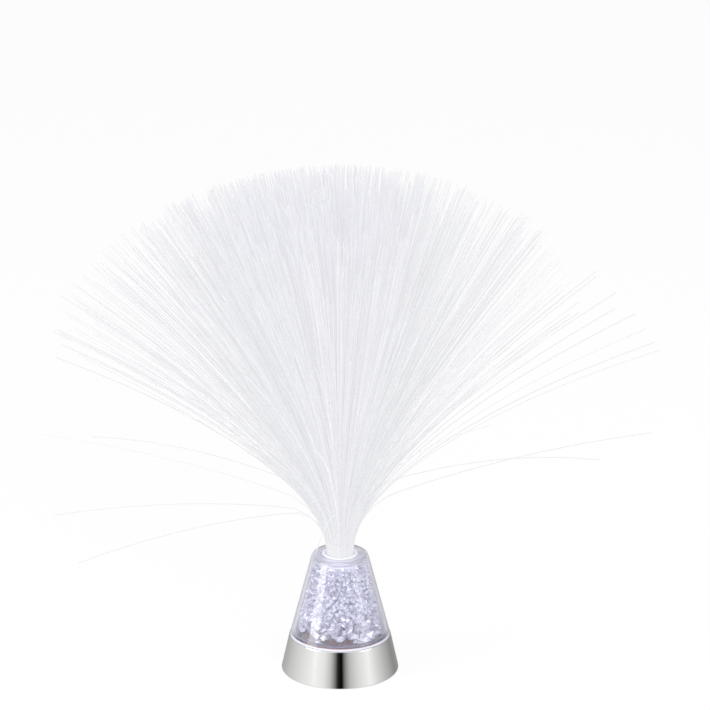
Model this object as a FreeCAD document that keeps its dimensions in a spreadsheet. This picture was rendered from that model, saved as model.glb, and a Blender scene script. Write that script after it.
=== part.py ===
"""Fibre optic lamp, in millimetres, +Z up.

The origin is on the surface that the lamp stands on, at the middle of its footprint. The cells lie
along X. The switch is on the -Y side. The battery door's hinge pins are at the bay's -X end.
"""
import FreeCAD, Part
import math
import os
import random
import re

import Sketcher
from FreeCAD import Placement, Rotation, Vector

# name: (size in mm unless the note says otherwise, what it is)
SIZES = {
    # outside of the base
    "skirt_bottom_diameter": (75.0, "chrome skirt at its lower rim"),
    "skirt_top_diameter": (65.0, "chrome skirt at its upper rim"),
    "skirt_height": (23.6, "chrome skirt, rim to rim"),
    "skirt_rim_gap": (0.6, "lower rim above the surface the lamp stands on"),
    "skirt_wall": (1.6, "skirt wall"),
    "ledge_width": (2.8, "how far the ledge stands in under the floor disc"),
    "ledge_thickness": (1.4, "ledge under the floor disc"),
    "boss_diameter": (6.0, "screw bosses that hang from the ledge"),
    # clear dome and its floor
    "skirt_rim_width": (2.1, "flat upper rim of the skirt"),
    "spigot_length": (2.8, "dome's spigot below its flange"),
    "spigot_gap": (0.2, "all round the spigot"),
    "disc_thickness": (1.6, "clear floor disc"),
    "dome_inset": (0.5, "dome's flange inside the skirt's upper edge"),
    "dome_top_diameter": (35.6, "dome at its top face, before rounding"),
    "dome_height": (55.8, "dome from the skirt's rim to its top face"),
    "dome_wall": (2.0, "dome wall, measured across"),
    "dome_top_thickness": (3.0, "dome's top plate"),
    "lip_wall": (3.0, "dome's thick lip, at the spigot"),
    "lip_height": (1.2, "thick lip above the flange"),
    "lip_slope_height": (2.4, "slope from the lip up to the thin wall"),
    "shoulder_radius": (3.0, "rounding of the dome's outer shoulder"),
    "inner_shoulder_radius": (1.5, "rounding inside the shoulder"),
    # neck
    "collar_flange_diameter": (23.0, "white collar's flange"),
    "collar_flange_thickness": (1.5, "white collar's flange"),
    "collar_wall": (1.2, "white collar's tube"),
    "collar_length": (14.0, "white collar from its top face down"),
    "collar_stop_width": (1.6, "lip at the collar's lower end that stops the ferrule"),
    "collar_stop_thickness": (1.2, "that lip"),
    "collar_gap": (0.1, "between collar and dome, all round"),
    "ferrule_wall": (0.3, "sleeve round the fibre bundle"),
    "ferrule_gap": (0.15, "sliding fit of the ferrule in the collar, each side"),
    "ferrule_drop": (0.4, "ferrule's top below the collar's top face"),
    # fibres
    "strand_diameter": (1.12, "one strand"),
    "strand_pitch": (1.17, "between rings of strands in the bundle"),
    "ring_count": (7, "rings of strands round the middle one, a count"),
    "inner_ring_count": (5, "rings that make the inner part of the spray, a count"),
    "strand_length": (247.0, "free length above the neck"),
    "strand_length_spread": (2.5, "cut length differs by up to this"),
    "spray_lean": (58.0, "degrees from vertical at the tips of the outer ring"),
    "lean_spread": (3.2, "degrees that a strand's lean differs by in the outer ring"),
    "stray_diameter": (0.6, "one stray strand"),
    # base plate and battery bay
    "plate_thickness": (3.0, "base plate"),
    "plate_recess": (0.2, "base plate above the skirt's lower rim"),
    "plate_gap": (0.25, "between base plate and skirt, all round"),
    "cell_diameter": (10.5, "AAA cell"),
    "cell_can_length": (43.3, "AAA cell without its nub"),
    "nub_diameter": (3.8, "AAA cell's positive nub"),
    "nub_length": (1.2, "AAA cell's positive nub"),
    "cell_pitch": (10.9, "between cells"),
    "cell_gap": (0.3, "round the outer cells and above all of them"),
    "cell_door_gap": (0.4, "between the door and the cells"),
    "spring_space": (3.2, "between a cell's flat end and its contact"),
    "contact_thickness": (0.4, "contact plates"),
    "contact_width": (8.0, "contact plates, across and up"),
    "spring_wire_diameter": (0.5, "contact springs"),
    "spring_diameter": (6.0, "contact springs, to the middle of the wire"),
    "spring_turn_count": (3, "contact springs, a count"),
    "spring_end_gap": (0.05, "between a spring's ends and what they press on"),
    "bay_wall": (1.2, "battery bay's walls and roof"),
    "bay_corner": (1.5, "slant across the bay's outer corners"),
    "opening_margin": (0.45, "plate's opening inside the bay's walls"),
    # battery door
    "door_thickness": (2.2, "battery door"),
    "door_gap": (0.2, "round the battery door"),
    "hinge_pin_diameter": (1.2, "door's hinge pins"),
    "hinge_pin_length": (1.2, "door's hinge pins"),
    "hinge_pin_gap": (0.1, "round and beyond the hinge pins"),
    "notch_length": (10.0, "finger notch beside the door"),
    "notch_width": (2.6, "finger notch beside the door"),
    "notch_depth": (1.5, "finger notch beside the door"),
    # fasteners and feet
    "screw_diameter": (2.6, "base screws"),
    "screw_head_diameter": (5.0, "base screws"),
    "screw_head_height": (1.6, "base screws"),
    "screw_grip": (8.0, "base screws' length in the boss"),
    "screw_angle": (70.0, "degrees from the X axis to each base screw"),
    "screw_gap": (0.2, "round base screws in the plate, each side"),
    "thread_gap": (0.05, "round a screw in the hole it is driven into"),
    "drive_width": (0.6, "cross recess in the screw heads"),
    "drive_share": (0.6, "of a head's diameter that its cross recess spans, a share"),
    "foot_diameter": (7.0, "rubber feet"),
    "foot_thickness": (1.6, "rubber feet"),
    "foot_gap": (0.1, "round the feet in their recesses"),
    "foot_inset": (7.5, "from the skirt's lower edge to the middle of a foot"),
    "foot_angle": (50.0, "degrees from the X axis to each foot"),
    # switch
    "switch_y": (-22.3, "middle of the switch"),
    "switch_length": (8.6, "switch housing"),
    "switch_width": (4.0, "switch housing"),
    "switch_height": (3.5, "switch housing"),
    "switch_wall": (0.6, "switch housing"),
    "switch_travel": (2.0, "from off to on"),
    "slider_block_length": (3.6, "slider inside the housing"),
    "slider_block_height": (1.6, "slider inside the housing"),
    "slider_gap": (0.2, "round the slider, each side"),
    "stem_length": (2.0, "slider's stem through the plate"),
    "stem_width": (1.6, "slider's stem through the plate"),
    "knob_length": (3.4, "slider's ridged knob"),
    "knob_width": (2.8, "slider's ridged knob"),
    "knob_height": (1.4, "slider's ridged knob"),
    "knob_groove": (0.4, "grooves across the knob, wide and deep"),
    "knob_groove_pitch": (1.0, "grooves across the knob"),
    "knob_recess_depth": (1.6, "recess round the knob"),
    "knob_recess_margin": (0.8, "recess beyond the knob's travel"),
    # board
    "board_gap": (0.6, "between the circuit board and the screw bosses"),
    "board_thickness": (1.6, "circuit board"),
    "post_height": (1.2, "board above the bay's roof"),
    "post_diameter": (5.0, "posts under the board"),
    "post_x": (20.0, "posts, from the middle"),
    "board_screw_diameter": (2.0, "board screws"),
    "board_screw_head_diameter": (3.6, "board screws"),
    "board_screw_head_height": (1.2, "board screws"),
    "board_screw_grip": (1.8, "board screws' length in the post"),
    "led_diameter": (4.8, "LED lens"),
    "led_flange_diameter": (5.6, "LED flange"),
    "led_flange_height": (0.8, "LED flange"),
    "led_barrel_height": (2.0, "LED above its flange, below its round tip"),
    "led_leg_diameter": (0.5, "LED legs"),
    "led_leg_pitch": (2.54, "LED legs"),
    "led_leg_stub": (0.6, "LED legs below the board"),
    "led_inset": (11.2, "from the dome's lip to the middle of a rim LED"),
    "rim_led_angle": (90.0, "degrees from the X axis to the first rim LED"),
    "led_gap": (0.3, "round an LED in the floor disc"),
    "leg_hole_gap": (0.1, "round an LED leg in the board"),
    "resistor_length": (2.0, "chip resistors"),
    "resistor_width": (1.25, "chip resistors"),
    "resistor_height": (0.5, "chip resistors"),
    "resistor_radius": (9.0, "chip resistors, from the middle of the board"),
    "lead_diameter": (1.0, "insulated leads"),
    "lead_hole_gap": (0.1, "round a lead in the bay's wall"),
    "lead_end_gap": (0.25, "between a lead's end and the contact spring beside it"),
    "lead_clearance": (1.9, "from the bay's walls to the middle of a lead"),
    "lead_rise": (3.0, "a lead's run straight up to the board or down to the switch"),
    "lead_run": (12.0, "a lead's run along the bay's side"),
    "lug_inset": (1.1, "switch's first lug from the housing's end"),
    # crystals
    "crystal_width": (6.8, "widest that a crystal can be"),
    "crystal_height": (5.6, "tallest that a crystal can be"),
    "crystal_gap": (0.1, "least space round a crystal"),
}

doc = FreeCAD.newDocument("FibreOpticLamp")
sheet = doc.addObject("Spreadsheet::Sheet", "Sizes")
for row, (alias, (value, note)) in enumerate(SIZES.items(), start=1):
    sheet.set(f"A{row}", alias)
    sheet.set(f"B{row}", str(value))
    sheet.set(f"C{row}", note)
    sheet.setAlias(f"B{row}", alias)
doc.recompute()

nodes = []


def size(alias):
    """A driving dimension, read from the sheet."""
    return float(sheet.get(alias))


def cell(text):
    """An expression in which each name of the sheet is written bare."""
    return re.sub(r"[a-z_]\w*", lambda word: f"Sizes.{word[0]}" if word[0] in SIZES else word[0], text)


# heights and radii that several pieces share, as expressions
SKIRT_BOTTOM = "skirt_rim_gap"
SKIRT_TOP = "( skirt_rim_gap + skirt_height )"
SKIRT_TAPER = "( ( skirt_bottom_diameter - skirt_top_diameter ) / 2 / skirt_height )"
LEDGE_TOP = f"( {SKIRT_TOP} - spigot_length - disc_thickness )"
LEDGE_UNDER = f"( {LEDGE_TOP} - ledge_thickness )"
DISC_TOP = f"( {SKIRT_TOP} - spigot_length )"
SKIRT_BORE = "( skirt_top_diameter / 2 - skirt_rim_width )"
SPIGOT_RADIUS = f"( {SKIRT_BORE} - spigot_gap )"
LIP_BORE = f"( {SPIGOT_RADIUS} - lip_wall )"
DOME_BOTTOM_RADIUS = "( skirt_top_diameter / 2 - dome_inset )"
SKIRT_UNDER_LEDGE = f"( skirt_bottom_diameter / 2 - {SKIRT_TAPER} * ( {LEDGE_UNDER} - {SKIRT_BOTTOM} ) )"
SCREW_REACH = f"( {SKIRT_UNDER_LEDGE} - skirt_wall - boss_diameter / 2 )"
FOOT_REACH = "( skirt_bottom_diameter / 2 - foot_inset )"
BOARD_RADIUS = f"( {SCREW_REACH} - boss_diameter / 2 - board_gap )"
PLATE_BOTTOM = "( skirt_rim_gap + plate_recess )"
PLATE_TOP = f"( {PLATE_BOTTOM} + plate_thickness )"
DOOR_TOP = f"( {PLATE_BOTTOM} + door_thickness )"
CELL_AXIS = f"( {DOOR_TOP} + cell_door_gap + cell_diameter / 2 )"
BAY_CEILING = f"( {CELL_AXIS} + cell_diameter / 2 + cell_gap )"
BAY_ROOF = f"( {BAY_CEILING} + bay_wall )"
BAY_X = "( ( cell_can_length + nub_length + spring_space ) / 2 + contact_thickness )"
BAY_Y = "( cell_pitch + cell_diameter / 2 + cell_gap )"
OPENING_X = f"( {BAY_X} - opening_margin )"
OPENING_Y = f"( {BAY_Y} - opening_margin )"
BOARD_BOTTOM = f"( {BAY_ROOF} + post_height )"
BOARD_TOP = f"( {BOARD_BOTTOM} + board_thickness )"
DOME_TOP = f"( {SKIRT_TOP} + dome_height )"
BUNDLE_RADIUS = "( ring_count * strand_pitch + strand_diameter / 2 )"
FERRULE_BORE = f"( {BUNDLE_RADIUS} + ( strand_pitch - strand_diameter ) / 2 )"
FERRULE_RADIUS = f"( {FERRULE_BORE} + ferrule_wall )"
COLLAR_BORE = f"( {FERRULE_RADIUS} + ferrule_gap )"
COLLAR_RADIUS = f"( {COLLAR_BORE} + collar_wall )"
COLLAR_STOP = f"( {DOME_TOP} - collar_length + collar_stop_thickness )"
HINGE_X = f"( - {OPENING_X} + door_gap + door_thickness / 2 )"
HINGE_Z = f"( {PLATE_BOTTOM} + door_thickness / 2 )"
KNOB_ROOF = f"( {PLATE_BOTTOM} + knob_recess_depth )"
SLIDER_X = "( - switch_travel / 2 )"
LEAD_X = f"( {BAY_X} - contact_thickness - lead_diameter / 2 )"


def bind(thing, path, text):
    """Drive one property of an object by an expression."""
    thing.setExpression(path, cell(text))


def number(text):
    """The value of an expression, from a sheet cell that holds it."""
    sheet.set("E1", "=" + cell(text).replace("Sizes.", ""))
    sheet.recompute()
    return float(sheet.get("E1"))


def node(thing, label):
    """Mark an object as one of the lamp's pieces."""
    thing.Label = label
    nodes.append(thing)
    return thing


# ---- PartDesign helpers ----


def new_body(label):
    return node(doc.addObject("PartDesign::Body", label), label)


def origin_part(body, role):
    return next(part for part in body.Origin.OriginFeatures if part.Role == role)


def sketch_on(body, role, height=None):
    """A sketch on one of the body's own planes, moved along the plane's normal."""
    sketch = body.newObject("Sketcher::SketchObject", "Sketch")
    sketch.AttachmentSupport = [(origin_part(body, role), "")]
    sketch.MapMode = "FlatFace"
    if height:
        bind(sketch, "AttachmentOffset.Base.z", height)
    return sketch


def place_point(sketch, geometry, which, across, up):
    """Hold a point of a sketch at two expressions from its origin."""
    for kind, text in (("DistanceX", across), ("DistanceY", up)):
        index = sketch.addConstraint(Sketcher.Constraint(kind, -1, 1, geometry, which, 1.0))
        bind(sketch, f"Constraints[{index}]", text)


def polygon(sketch, corners):
    """A closed outline whose corners are pairs of expressions."""
    count, first = len(corners), sketch.GeometryCount
    turn = 2 * math.pi / count
    start = [Vector(math.cos(i * turn), math.sin(i * turn), 0) for i in range(count)]
    for i in range(count):
        sketch.addGeometry(Part.LineSegment(start[i], start[(i + 1) % count]), False)
    for i in range(count):
        joined = Sketcher.Constraint("Coincident", first + i, 2, first + (i + 1) % count, 1)
        sketch.addConstraint(joined)
    for i, (across, up) in enumerate(corners):
        place_point(sketch, first + i, 1, across, up)


def rectangle(sketch, left, right, low, high):
    polygon(sketch, [(left, low), (right, low), (right, high), (left, high)])


def slanted(sketch, half_x, half_y, corner):
    """A rectangle about the origin with its corners cut across."""
    near_x, near_y = f"( {half_x} - {corner} )", f"( {half_y} - {corner} )"
    polygon(
        sketch,
        [
            (half_x, near_y), (near_x, half_y), (f"-{near_x}", half_y), (f"-{half_x}", near_y),
            (f"-{half_x}", f"-{near_y}"), (f"-{near_x}", f"-{half_y}"),
            (near_x, f"-{half_y}"), (half_x, f"-{near_y}"),
        ],
    )


def circle(sketch, across, up, radius):
    index = sketch.addGeometry(Part.Circle(Vector(1, 1, 0), Vector(0, 0, 1), 1), False)
    place_point(sketch, index, 3, across, up)
    held = sketch.addConstraint(Sketcher.Constraint("Radius", index, 1.0))
    bind(sketch, f"Constraints[{held}]", radius)


def pad(body, sketch, length):
    feature = body.newObject("PartDesign::Pad", "Pad")
    feature.Profile = sketch
    bind(feature, "Length", length)
    return feature


def pocket(body, sketch, depth, upward=False):
    """Cut from the sketch's plane down, or up. A cut that removes nothing is an error."""
    doc.recompute()
    before = body.Shape.Volume
    feature = body.newObject("PartDesign::Pocket", "Pocket")
    feature.Profile = sketch
    feature.Reversed = upward
    bind(feature, "Length", depth)
    doc.recompute()
    if body.Shape.Volume >= before:
        raise RuntimeError(f"a pocket of {body.Label} cuts nothing")
    return feature


def revolve(body, corners):
    """A solid of revolution about Z from an outline in the XZ plane."""
    sketch = sketch_on(body, "XZ_Plane")
    polygon(sketch, corners)
    feature = body.newObject("PartDesign::Revolution", "Revolution")
    feature.Profile = sketch
    feature.ReferenceAxis = (sketch, ["V_Axis"])
    feature.Angle = 360
    return feature


def round_edges(body, base, radius, chosen):
    """Fillet those edges of the body that the test picks."""
    doc.recompute()
    names = [f"Edge{i}" for i, edge in enumerate(body.Shape.Edges, start=1) if chosen(edge)]
    feature = body.newObject("PartDesign::Fillet", "Fillet")
    feature.Base = (base, names)
    bind(feature, "Radius", radius)
    return feature


def ring_edge(radius, height):
    """A test for the full circle of one radius at one height."""

    def chosen(edge):
        curve = edge.Curve
        return (
            isinstance(curve, Part.Circle)
            and abs(curve.Radius - radius) < 1e-3
            and abs(curve.Center.z - height) < 1e-3
        )

    return chosen


# ---- Part helpers ----


def set_place(thing, x="0", y="0", z="0"):
    for letter, text in zip("xyz", (x, y, z)):
        bind(thing, f"Placement.Base.{letter}", text)


def cylinder(radius, height, x="0", y="0", z="0"):
    made = doc.addObject("Part::Cylinder", "Cylinder")
    bind(made, "Radius", radius)
    bind(made, "Height", height)
    set_place(made, x, y, z)
    return made


def box(length, width, height, x="0", y="0", z="0"):
    """A box centred on x and y, standing on z."""
    made = doc.addObject("Part::Box", "Box")
    bind(made, "Length", length)
    bind(made, "Width", width)
    bind(made, "Height", height)
    set_place(made, f"{x} - ( {length} ) / 2", f"{y} - ( {width} ) / 2", z)
    return made


def fuse(parts):
    made = doc.addObject("Part::MultiFuse", "Fuse")
    made.Shapes = parts
    return made


def cut(base, tool):
    made = doc.addObject("Part::Cut", "Cut")
    made.Base = base
    made.Tool = tool
    return made


def group(parts, label):
    """Separate solids of one kind in one node."""
    made = doc.addObject("Part::Compound", label)
    made.Links = parts
    return node(made, label)


def shaped(shape, label):
    """A piece whose form is made with Part's own functions."""
    made = doc.addObject("Part::Feature", label)
    made.Shape = shape
    made.Placement = Placement()
    return node(made, label)


def tube_along(points, radius):
    """A round tube of straight runs joined by arcs as large as the runs allow."""
    edges = []
    reached = points[0]
    for before, corner, after in zip(points, points[1:], points[2:]):
        come, leave = corner - before, after - corner
        turn = come.getAngle(leave)
        back = 0.45 * min(come.Length, leave.Length)
        start = corner - come.normalize() * back
        end = corner + leave.normalize() * back
        bend = back / math.tan(turn / 2)
        inward = (leave - come).normalize()
        middle = corner + inward * (bend / math.cos(turn / 2) - bend)
        edges.append(Part.LineSegment(reached, start).toShape())
        edges.append(Part.Arc(start, middle, end).toShape())
        reached = end
    edges.append(Part.LineSegment(reached, points[-1]).toShape())
    path = Part.Wire(edges)
    section = Part.Wire([Part.makeCircle(radius, points[0], points[1] - points[0])])
    return path.makePipeShell([section], True, False)


# ---- base ----


def chrome_skirt():
    """Conical shell with a ledge for the floor disc and four screw bosses under the ledge."""
    body = new_body("chrome_skirt")
    revolve(
        body,
        [
            ("skirt_bottom_diameter / 2", SKIRT_BOTTOM),
            ("skirt_top_diameter / 2", SKIRT_TOP),
            (SKIRT_BORE, SKIRT_TOP),
            (SKIRT_BORE, LEDGE_TOP),
            (f"{SKIRT_BORE} - ledge_width", LEDGE_TOP),
            (f"{SKIRT_BORE} - ledge_width", LEDGE_UNDER),
            (f"{SKIRT_UNDER_LEDGE} - skirt_wall", LEDGE_UNDER),
            ("skirt_bottom_diameter / 2 - skirt_wall", SKIRT_BOTTOM),
        ],
    )
    sketch = sketch_on(body, "XY_Plane", PLATE_TOP)
    across, up = screw_places()[0]
    circle(sketch, across, up, "boss_diameter / 2")
    circle(sketch, across, up, "screw_diameter / 2 + thread_gap")
    boss = pad(body, sketch, f"{LEDGE_TOP} - {PLATE_TOP} - ledge_thickness / 2")
    mirrored(body, boss, ("YZ_Plane", "XZ_Plane"))


def mirrored(body, feature, roles):
    """Repeat a feature across one plane, then both across the next."""
    multi = body.newObject("PartDesign::MultiTransform", "Mirrors")
    multi.Originals = [feature]
    steps = []
    for role in roles:
        step = body.newObject("PartDesign::Mirrored", "Mirror")
        step.MirrorPlane = (origin_part(body, role), [""])
        steps.append(step)
    multi.Transformations = steps
    body.Tip = multi


def four_places(reach, angle):
    """Four points, one in each quarter, as pairs of expressions."""
    across, up = f"{reach} * cos( {angle} )", f"{reach} * sin( {angle} )"
    return [(f"{a} {across}", f"{b} {up}") for a in ("", "-") for b in ("", "-")]


def screw_places():
    return four_places(SCREW_REACH, "screw_angle")


def foot_places():
    return four_places(FOOT_REACH, "foot_angle")


def base_plate():
    """Plate with the battery bay on it, and openings for door, screws, feet and switch."""
    body = new_body("base_plate")
    rim = f"skirt_bottom_diameter / 2 - {SKIRT_TAPER} * ( {PLATE_TOP} - {SKIRT_BOTTOM} )"
    sketch = sketch_on(body, "XY_Plane", PLATE_BOTTOM)
    circle(sketch, "0", "0", f"{rim} - skirt_wall - plate_gap")
    pad(body, sketch, "plate_thickness")

    sketch = sketch_on(body, "XY_Plane", PLATE_BOTTOM)
    outer_x, outer_y = f"( {BAY_X} + bay_wall )", f"( {BAY_Y} + bay_wall )"
    slanted(sketch, outer_x, outer_y, "bay_corner")
    pad(body, sketch, f"{BAY_ROOF} - {PLATE_BOTTOM}")

    sketch = sketch_on(body, "XY_Plane", BAY_ROOF)
    for side in ("", "-"):
        circle(sketch, f"{side} post_x", "0", "post_diameter / 2")
    pad(body, sketch, "post_height")

    sketch = sketch_on(body, "XY_Plane", PLATE_TOP)
    rectangle(sketch, f"-{BAY_X}", BAY_X, f"-{BAY_Y}", BAY_Y)
    pocket(body, sketch, f"{BAY_CEILING} - {PLATE_TOP}", upward=True)

    sketch = sketch_on(body, "XY_Plane", PLATE_BOTTOM)
    rectangle(sketch, f"-{OPENING_X}", OPENING_X, f"-{OPENING_Y}", OPENING_Y)
    pocket(body, sketch, "plate_thickness", upward=True)

    sketch = sketch_on(body, "XY_Plane", PLATE_BOTTOM)
    rectangle(
        sketch, f"{OPENING_X} - door_gap", f"{OPENING_X} + notch_width",
        "- notch_length / 2", "notch_length / 2",
    )
    pocket(body, sketch, "notch_depth", upward=True)

    sketch = sketch_on(body, "XY_Plane", BOARD_BOTTOM)
    for side in ("", "-"):
        circle(sketch, f"{side} post_x", "0", "board_screw_diameter / 2 + thread_gap")
    pocket(body, sketch, "board_screw_grip + thread_gap")

    sketch = sketch_on(body, "XY_Plane", PLATE_BOTTOM)
    for across, up in screw_places():
        circle(sketch, across, up, "screw_diameter / 2 + screw_gap")
    pocket(body, sketch, "plate_thickness", upward=True)

    sketch = sketch_on(body, "XY_Plane", PLATE_BOTTOM)
    for across, up in screw_places():
        circle(sketch, across, up, "screw_head_diameter / 2 + screw_gap")
    pocket(body, sketch, "screw_head_height + screw_gap", upward=True)

    sketch = sketch_on(body, "XY_Plane", PLATE_BOTTOM)
    for across, up in foot_places():
        circle(sketch, across, up, "foot_diameter / 2 + foot_gap")
    pocket(body, sketch, f"foot_thickness - {PLATE_BOTTOM}", upward=True)

    sketch = sketch_on(body, "XZ_Plane")
    circle(sketch, HINGE_X, HINGE_Z, "hinge_pin_diameter / 2 + hinge_pin_gap")
    holes = pocket(body, sketch, f"2 * ( {OPENING_Y} - door_gap + hinge_pin_length + hinge_pin_gap )")
    holes.Midplane = True

    sketch = sketch_on(body, "XZ_Plane", BAY_Y)
    circle(sketch, LEAD_X, CELL_AXIS, "lead_diameter / 2 + lead_hole_gap")
    pocket(body, sketch, "bay_wall", upward=True)
    sketch = sketch_on(body, "XZ_Plane", f"- {BAY_Y}")
    circle(sketch, f"- {LEAD_X}", CELL_AXIS, "lead_diameter / 2 + lead_hole_gap")
    pocket(body, sketch, "bay_wall")

    half = "( knob_length / 2 + switch_travel / 2 + knob_recess_margin )"
    deep = "( knob_width / 2 + knob_recess_margin / 2 )"
    sketch = sketch_on(body, "XY_Plane", PLATE_BOTTOM)
    rectangle(sketch, f"-{half}", half, f"switch_y - {deep}", f"switch_y + {deep}")
    pocket(body, sketch, "knob_recess_depth", upward=True)

    half = "( stem_length / 2 + switch_travel / 2 + slider_gap )"
    deep = "( stem_width / 2 + slider_gap )"
    sketch = sketch_on(body, "XY_Plane", PLATE_BOTTOM)
    rectangle(sketch, f"-{half}", half, f"switch_y - {deep}", f"switch_y + {deep}")
    pocket(body, sketch, "plate_thickness", upward=True)


def battery_door():
    """Lid with a round hinge edge and two pins. It swings down about the pins."""
    body = new_body("battery_door")
    wide = f"( {OPENING_Y} - door_gap )"
    sketch = sketch_on(body, "XZ_Plane")
    rectangle(sketch, HINGE_X, f"{OPENING_X} - door_gap", PLATE_BOTTOM, DOOR_TOP)
    pad(body, sketch, f"2 * {wide}").Midplane = True
    sketch = sketch_on(body, "XZ_Plane")
    circle(sketch, HINGE_X, HINGE_Z, "door_thickness / 2")
    pad(body, sketch, f"2 * {wide}").Midplane = True
    sketch = sketch_on(body, "XZ_Plane")
    circle(sketch, HINGE_X, HINGE_Z, "hinge_pin_diameter / 2")
    pad(body, sketch, f"2 * ( {wide} + hinge_pin_length )").Midplane = True


def battery_cells():
    """Three AAA cells side by side, each turned round from the one beside it."""
    start = f"( {BAY_X} - contact_thickness )"
    for index in range(3):
        can = cylinder("cell_diameter / 2", "cell_can_length")
        nub = cylinder("nub_diameter / 2", "nub_length", z="cell_can_length")
        both = fuse([can, nub])
        forward = index != 1
        both.Placement = Placement(Vector(), Rotation(Vector(0, 1, 0), 90 if forward else -90))
        end = f"{'' if forward else '-'} ( {start} - cell_can_length - nub_length )"
        set_place(both, end, f"cell_pitch * {index - 1}", CELL_AXIS)
        node(both, f"battery_cell_{index + 1}")


def contacts():
    """Plates at both ends of the bay. Two of them join neighbouring cells."""
    low = f"{CELL_AXIS} - contact_width / 2"
    for label, sides, middle, width in (
        ("link_contacts", (("-", "-"), ("", "")), "cell_pitch / 2", "cell_pitch + contact_width"),
        ("terminal_contacts", (("", "-"), ("-", "")), "cell_pitch", "contact_width"),
    ):
        plates = [
            box(
                "contact_thickness", width, "contact_width",
                f"{side} ( {BAY_X} - contact_thickness / 2 )", f"{which} {middle}", low,
            )
            for side, which in sides
        ]
        group(plates, label)


def contact_springs():
    """Three coil springs, pressed between the cells' flat ends and their contacts."""
    wire, gap = size("spring_wire_diameter") / 2, size("spring_end_gap")
    radius = size("spring_diameter") / 2
    height = size("spring_space") - 2 * gap - 2 * wire
    path = Part.makeHelix(height / size("spring_turn_count"), height, radius)
    section = Part.Wire([Part.makeCircle(wire, Vector(radius, 0, 0), Vector(0, 1, 0))])
    spring = Part.Wire(path.Edges).makePipeShell([section], True, True)
    reach = number(BAY_X) - size("contact_thickness") - wire - gap
    springs = []
    for index, side in ((0, -1), (1, 1), (2, -1)):
        placed = spring.copy()
        facing = Rotation(Vector(0, 0, 1), Vector(-side, 0, 0))
        start = Vector(side * reach, (index - 1) * size("cell_pitch"), number(CELL_AXIS))
        placed.Placement = Placement(start, facing)
        springs.append(placed)
    shaped(Part.makeCompound(springs), "contact_springs")


def cross_recess(diameter, top, x, y):
    """The two bars of a screw head's cross recess, sunk from a height down."""
    long, floor = f"{diameter} * drive_share", f"{top} - drive_width"
    return fuse(
        [
            box(long, "drive_width", "drive_width", x, y, floor),
            box("drive_width", long, "drive_width", x, y, floor),
        ]
    )


def base_screws():
    """Four self-tapping screws, driven from below through the plate into the skirt's bosses."""
    seat = f"( {PLATE_BOTTOM} + screw_head_height + screw_gap )"
    screws = []
    for x, y in screw_places():
        under = f"( {seat} - screw_head_height )"
        head = cylinder("screw_head_diameter / 2", "screw_head_height", x, y, under)
        shank = cylinder("screw_diameter / 2", f"{PLATE_TOP} - {seat} + screw_grip", x, y, seat)
        recess = cross_recess("screw_head_diameter", f"( {under} + drive_width )", x, y)
        screws.append(cut(fuse([head, shank]), recess))
    group(screws, "base_screws")


def rubber_feet():
    group(
        [cylinder("foot_diameter / 2", "foot_thickness", x, y) for x, y in foot_places()],
        "rubber_feet",
    )


# ---- switch ----


def switch_housing():
    """Box on the plate, open below, that guides the slider."""
    body = new_body("switch_housing")
    sketch = sketch_on(body, "XY_Plane", PLATE_TOP)
    long, wide = "switch_length / 2", "switch_width / 2"
    rectangle(sketch, f"-{long}", long, f"switch_y - {wide}", f"switch_y + {wide}")
    pad(body, sketch, "switch_height")
    long, wide = f"( {long} - switch_wall )", f"( {wide} - switch_wall )"
    sketch = sketch_on(body, "XY_Plane", PLATE_TOP)
    rectangle(sketch, f"-{long}", long, f"switch_y - {wide}", f"switch_y + {wide}")
    pocket(body, sketch, "slider_block_height + 2 * slider_gap", upward=True)


def switch_slider():
    """Block in the housing, stem through the plate and ridged knob in the plate's recess."""
    body = new_body("switch_slider")

    def slab(low, height, length, width):
        sketch = sketch_on(body, "XY_Plane", low)
        rectangle(
            sketch, f"{SLIDER_X} - {length} / 2", f"{SLIDER_X} + {length} / 2",
            f"switch_y - {width} / 2", f"switch_y + {width} / 2",
        )
        pad(body, sketch, height)

    knob_top = f"( {KNOB_ROOF} - slider_gap )"
    block_bottom = f"( {PLATE_TOP} + slider_gap )"
    block_width = "( switch_width - 2 * switch_wall - 2 * slider_gap )"
    slab(f"{knob_top} - knob_height", "knob_height", "knob_length", "knob_width")
    slab(knob_top, f"{block_bottom} - {knob_top}", "stem_length", "stem_width")
    slab(block_bottom, "slider_block_height", "slider_block_length", block_width)
    sketch = sketch_on(body, "XY_Plane", f"{knob_top} - knob_height")
    for step in (-1, 0, 1):
        middle = f"{SLIDER_X} + {step} * knob_groove_pitch"
        rectangle(
            sketch, f"{middle} - knob_groove / 2", f"{middle} + knob_groove / 2",
            "switch_y - knob_width", "switch_y + knob_width",
        )
    pocket(body, sketch, "knob_groove", upward=True)


# ---- board ----


def led_places():
    """The middle LED, then the rim LEDs, as pairs of expressions."""
    reach = f"( {LIP_BORE} - led_inset )"
    angles = [f"rim_led_angle + {step} * 360 / 3" for step in range(3)]
    return [("0", "0"), *[(f"{reach} * cos( {a} )", f"{reach} * sin( {a} )") for a in angles]]


def circuit_board():
    body = new_body("circuit_board")
    sketch = sketch_on(body, "XY_Plane", BOARD_BOTTOM)
    circle(sketch, "0", "0", BOARD_RADIUS)
    for side in ("", "-"):
        circle(sketch, f"{side} post_x", "0", "board_screw_diameter / 2 + screw_gap")
    for x, y in led_places():
        for side in ("-", "+"):
            circle(sketch, f"{x} {side} led_leg_pitch / 2", y, "led_leg_diameter / 2 + leg_hole_gap")
    pad(body, sketch, "board_thickness")


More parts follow.
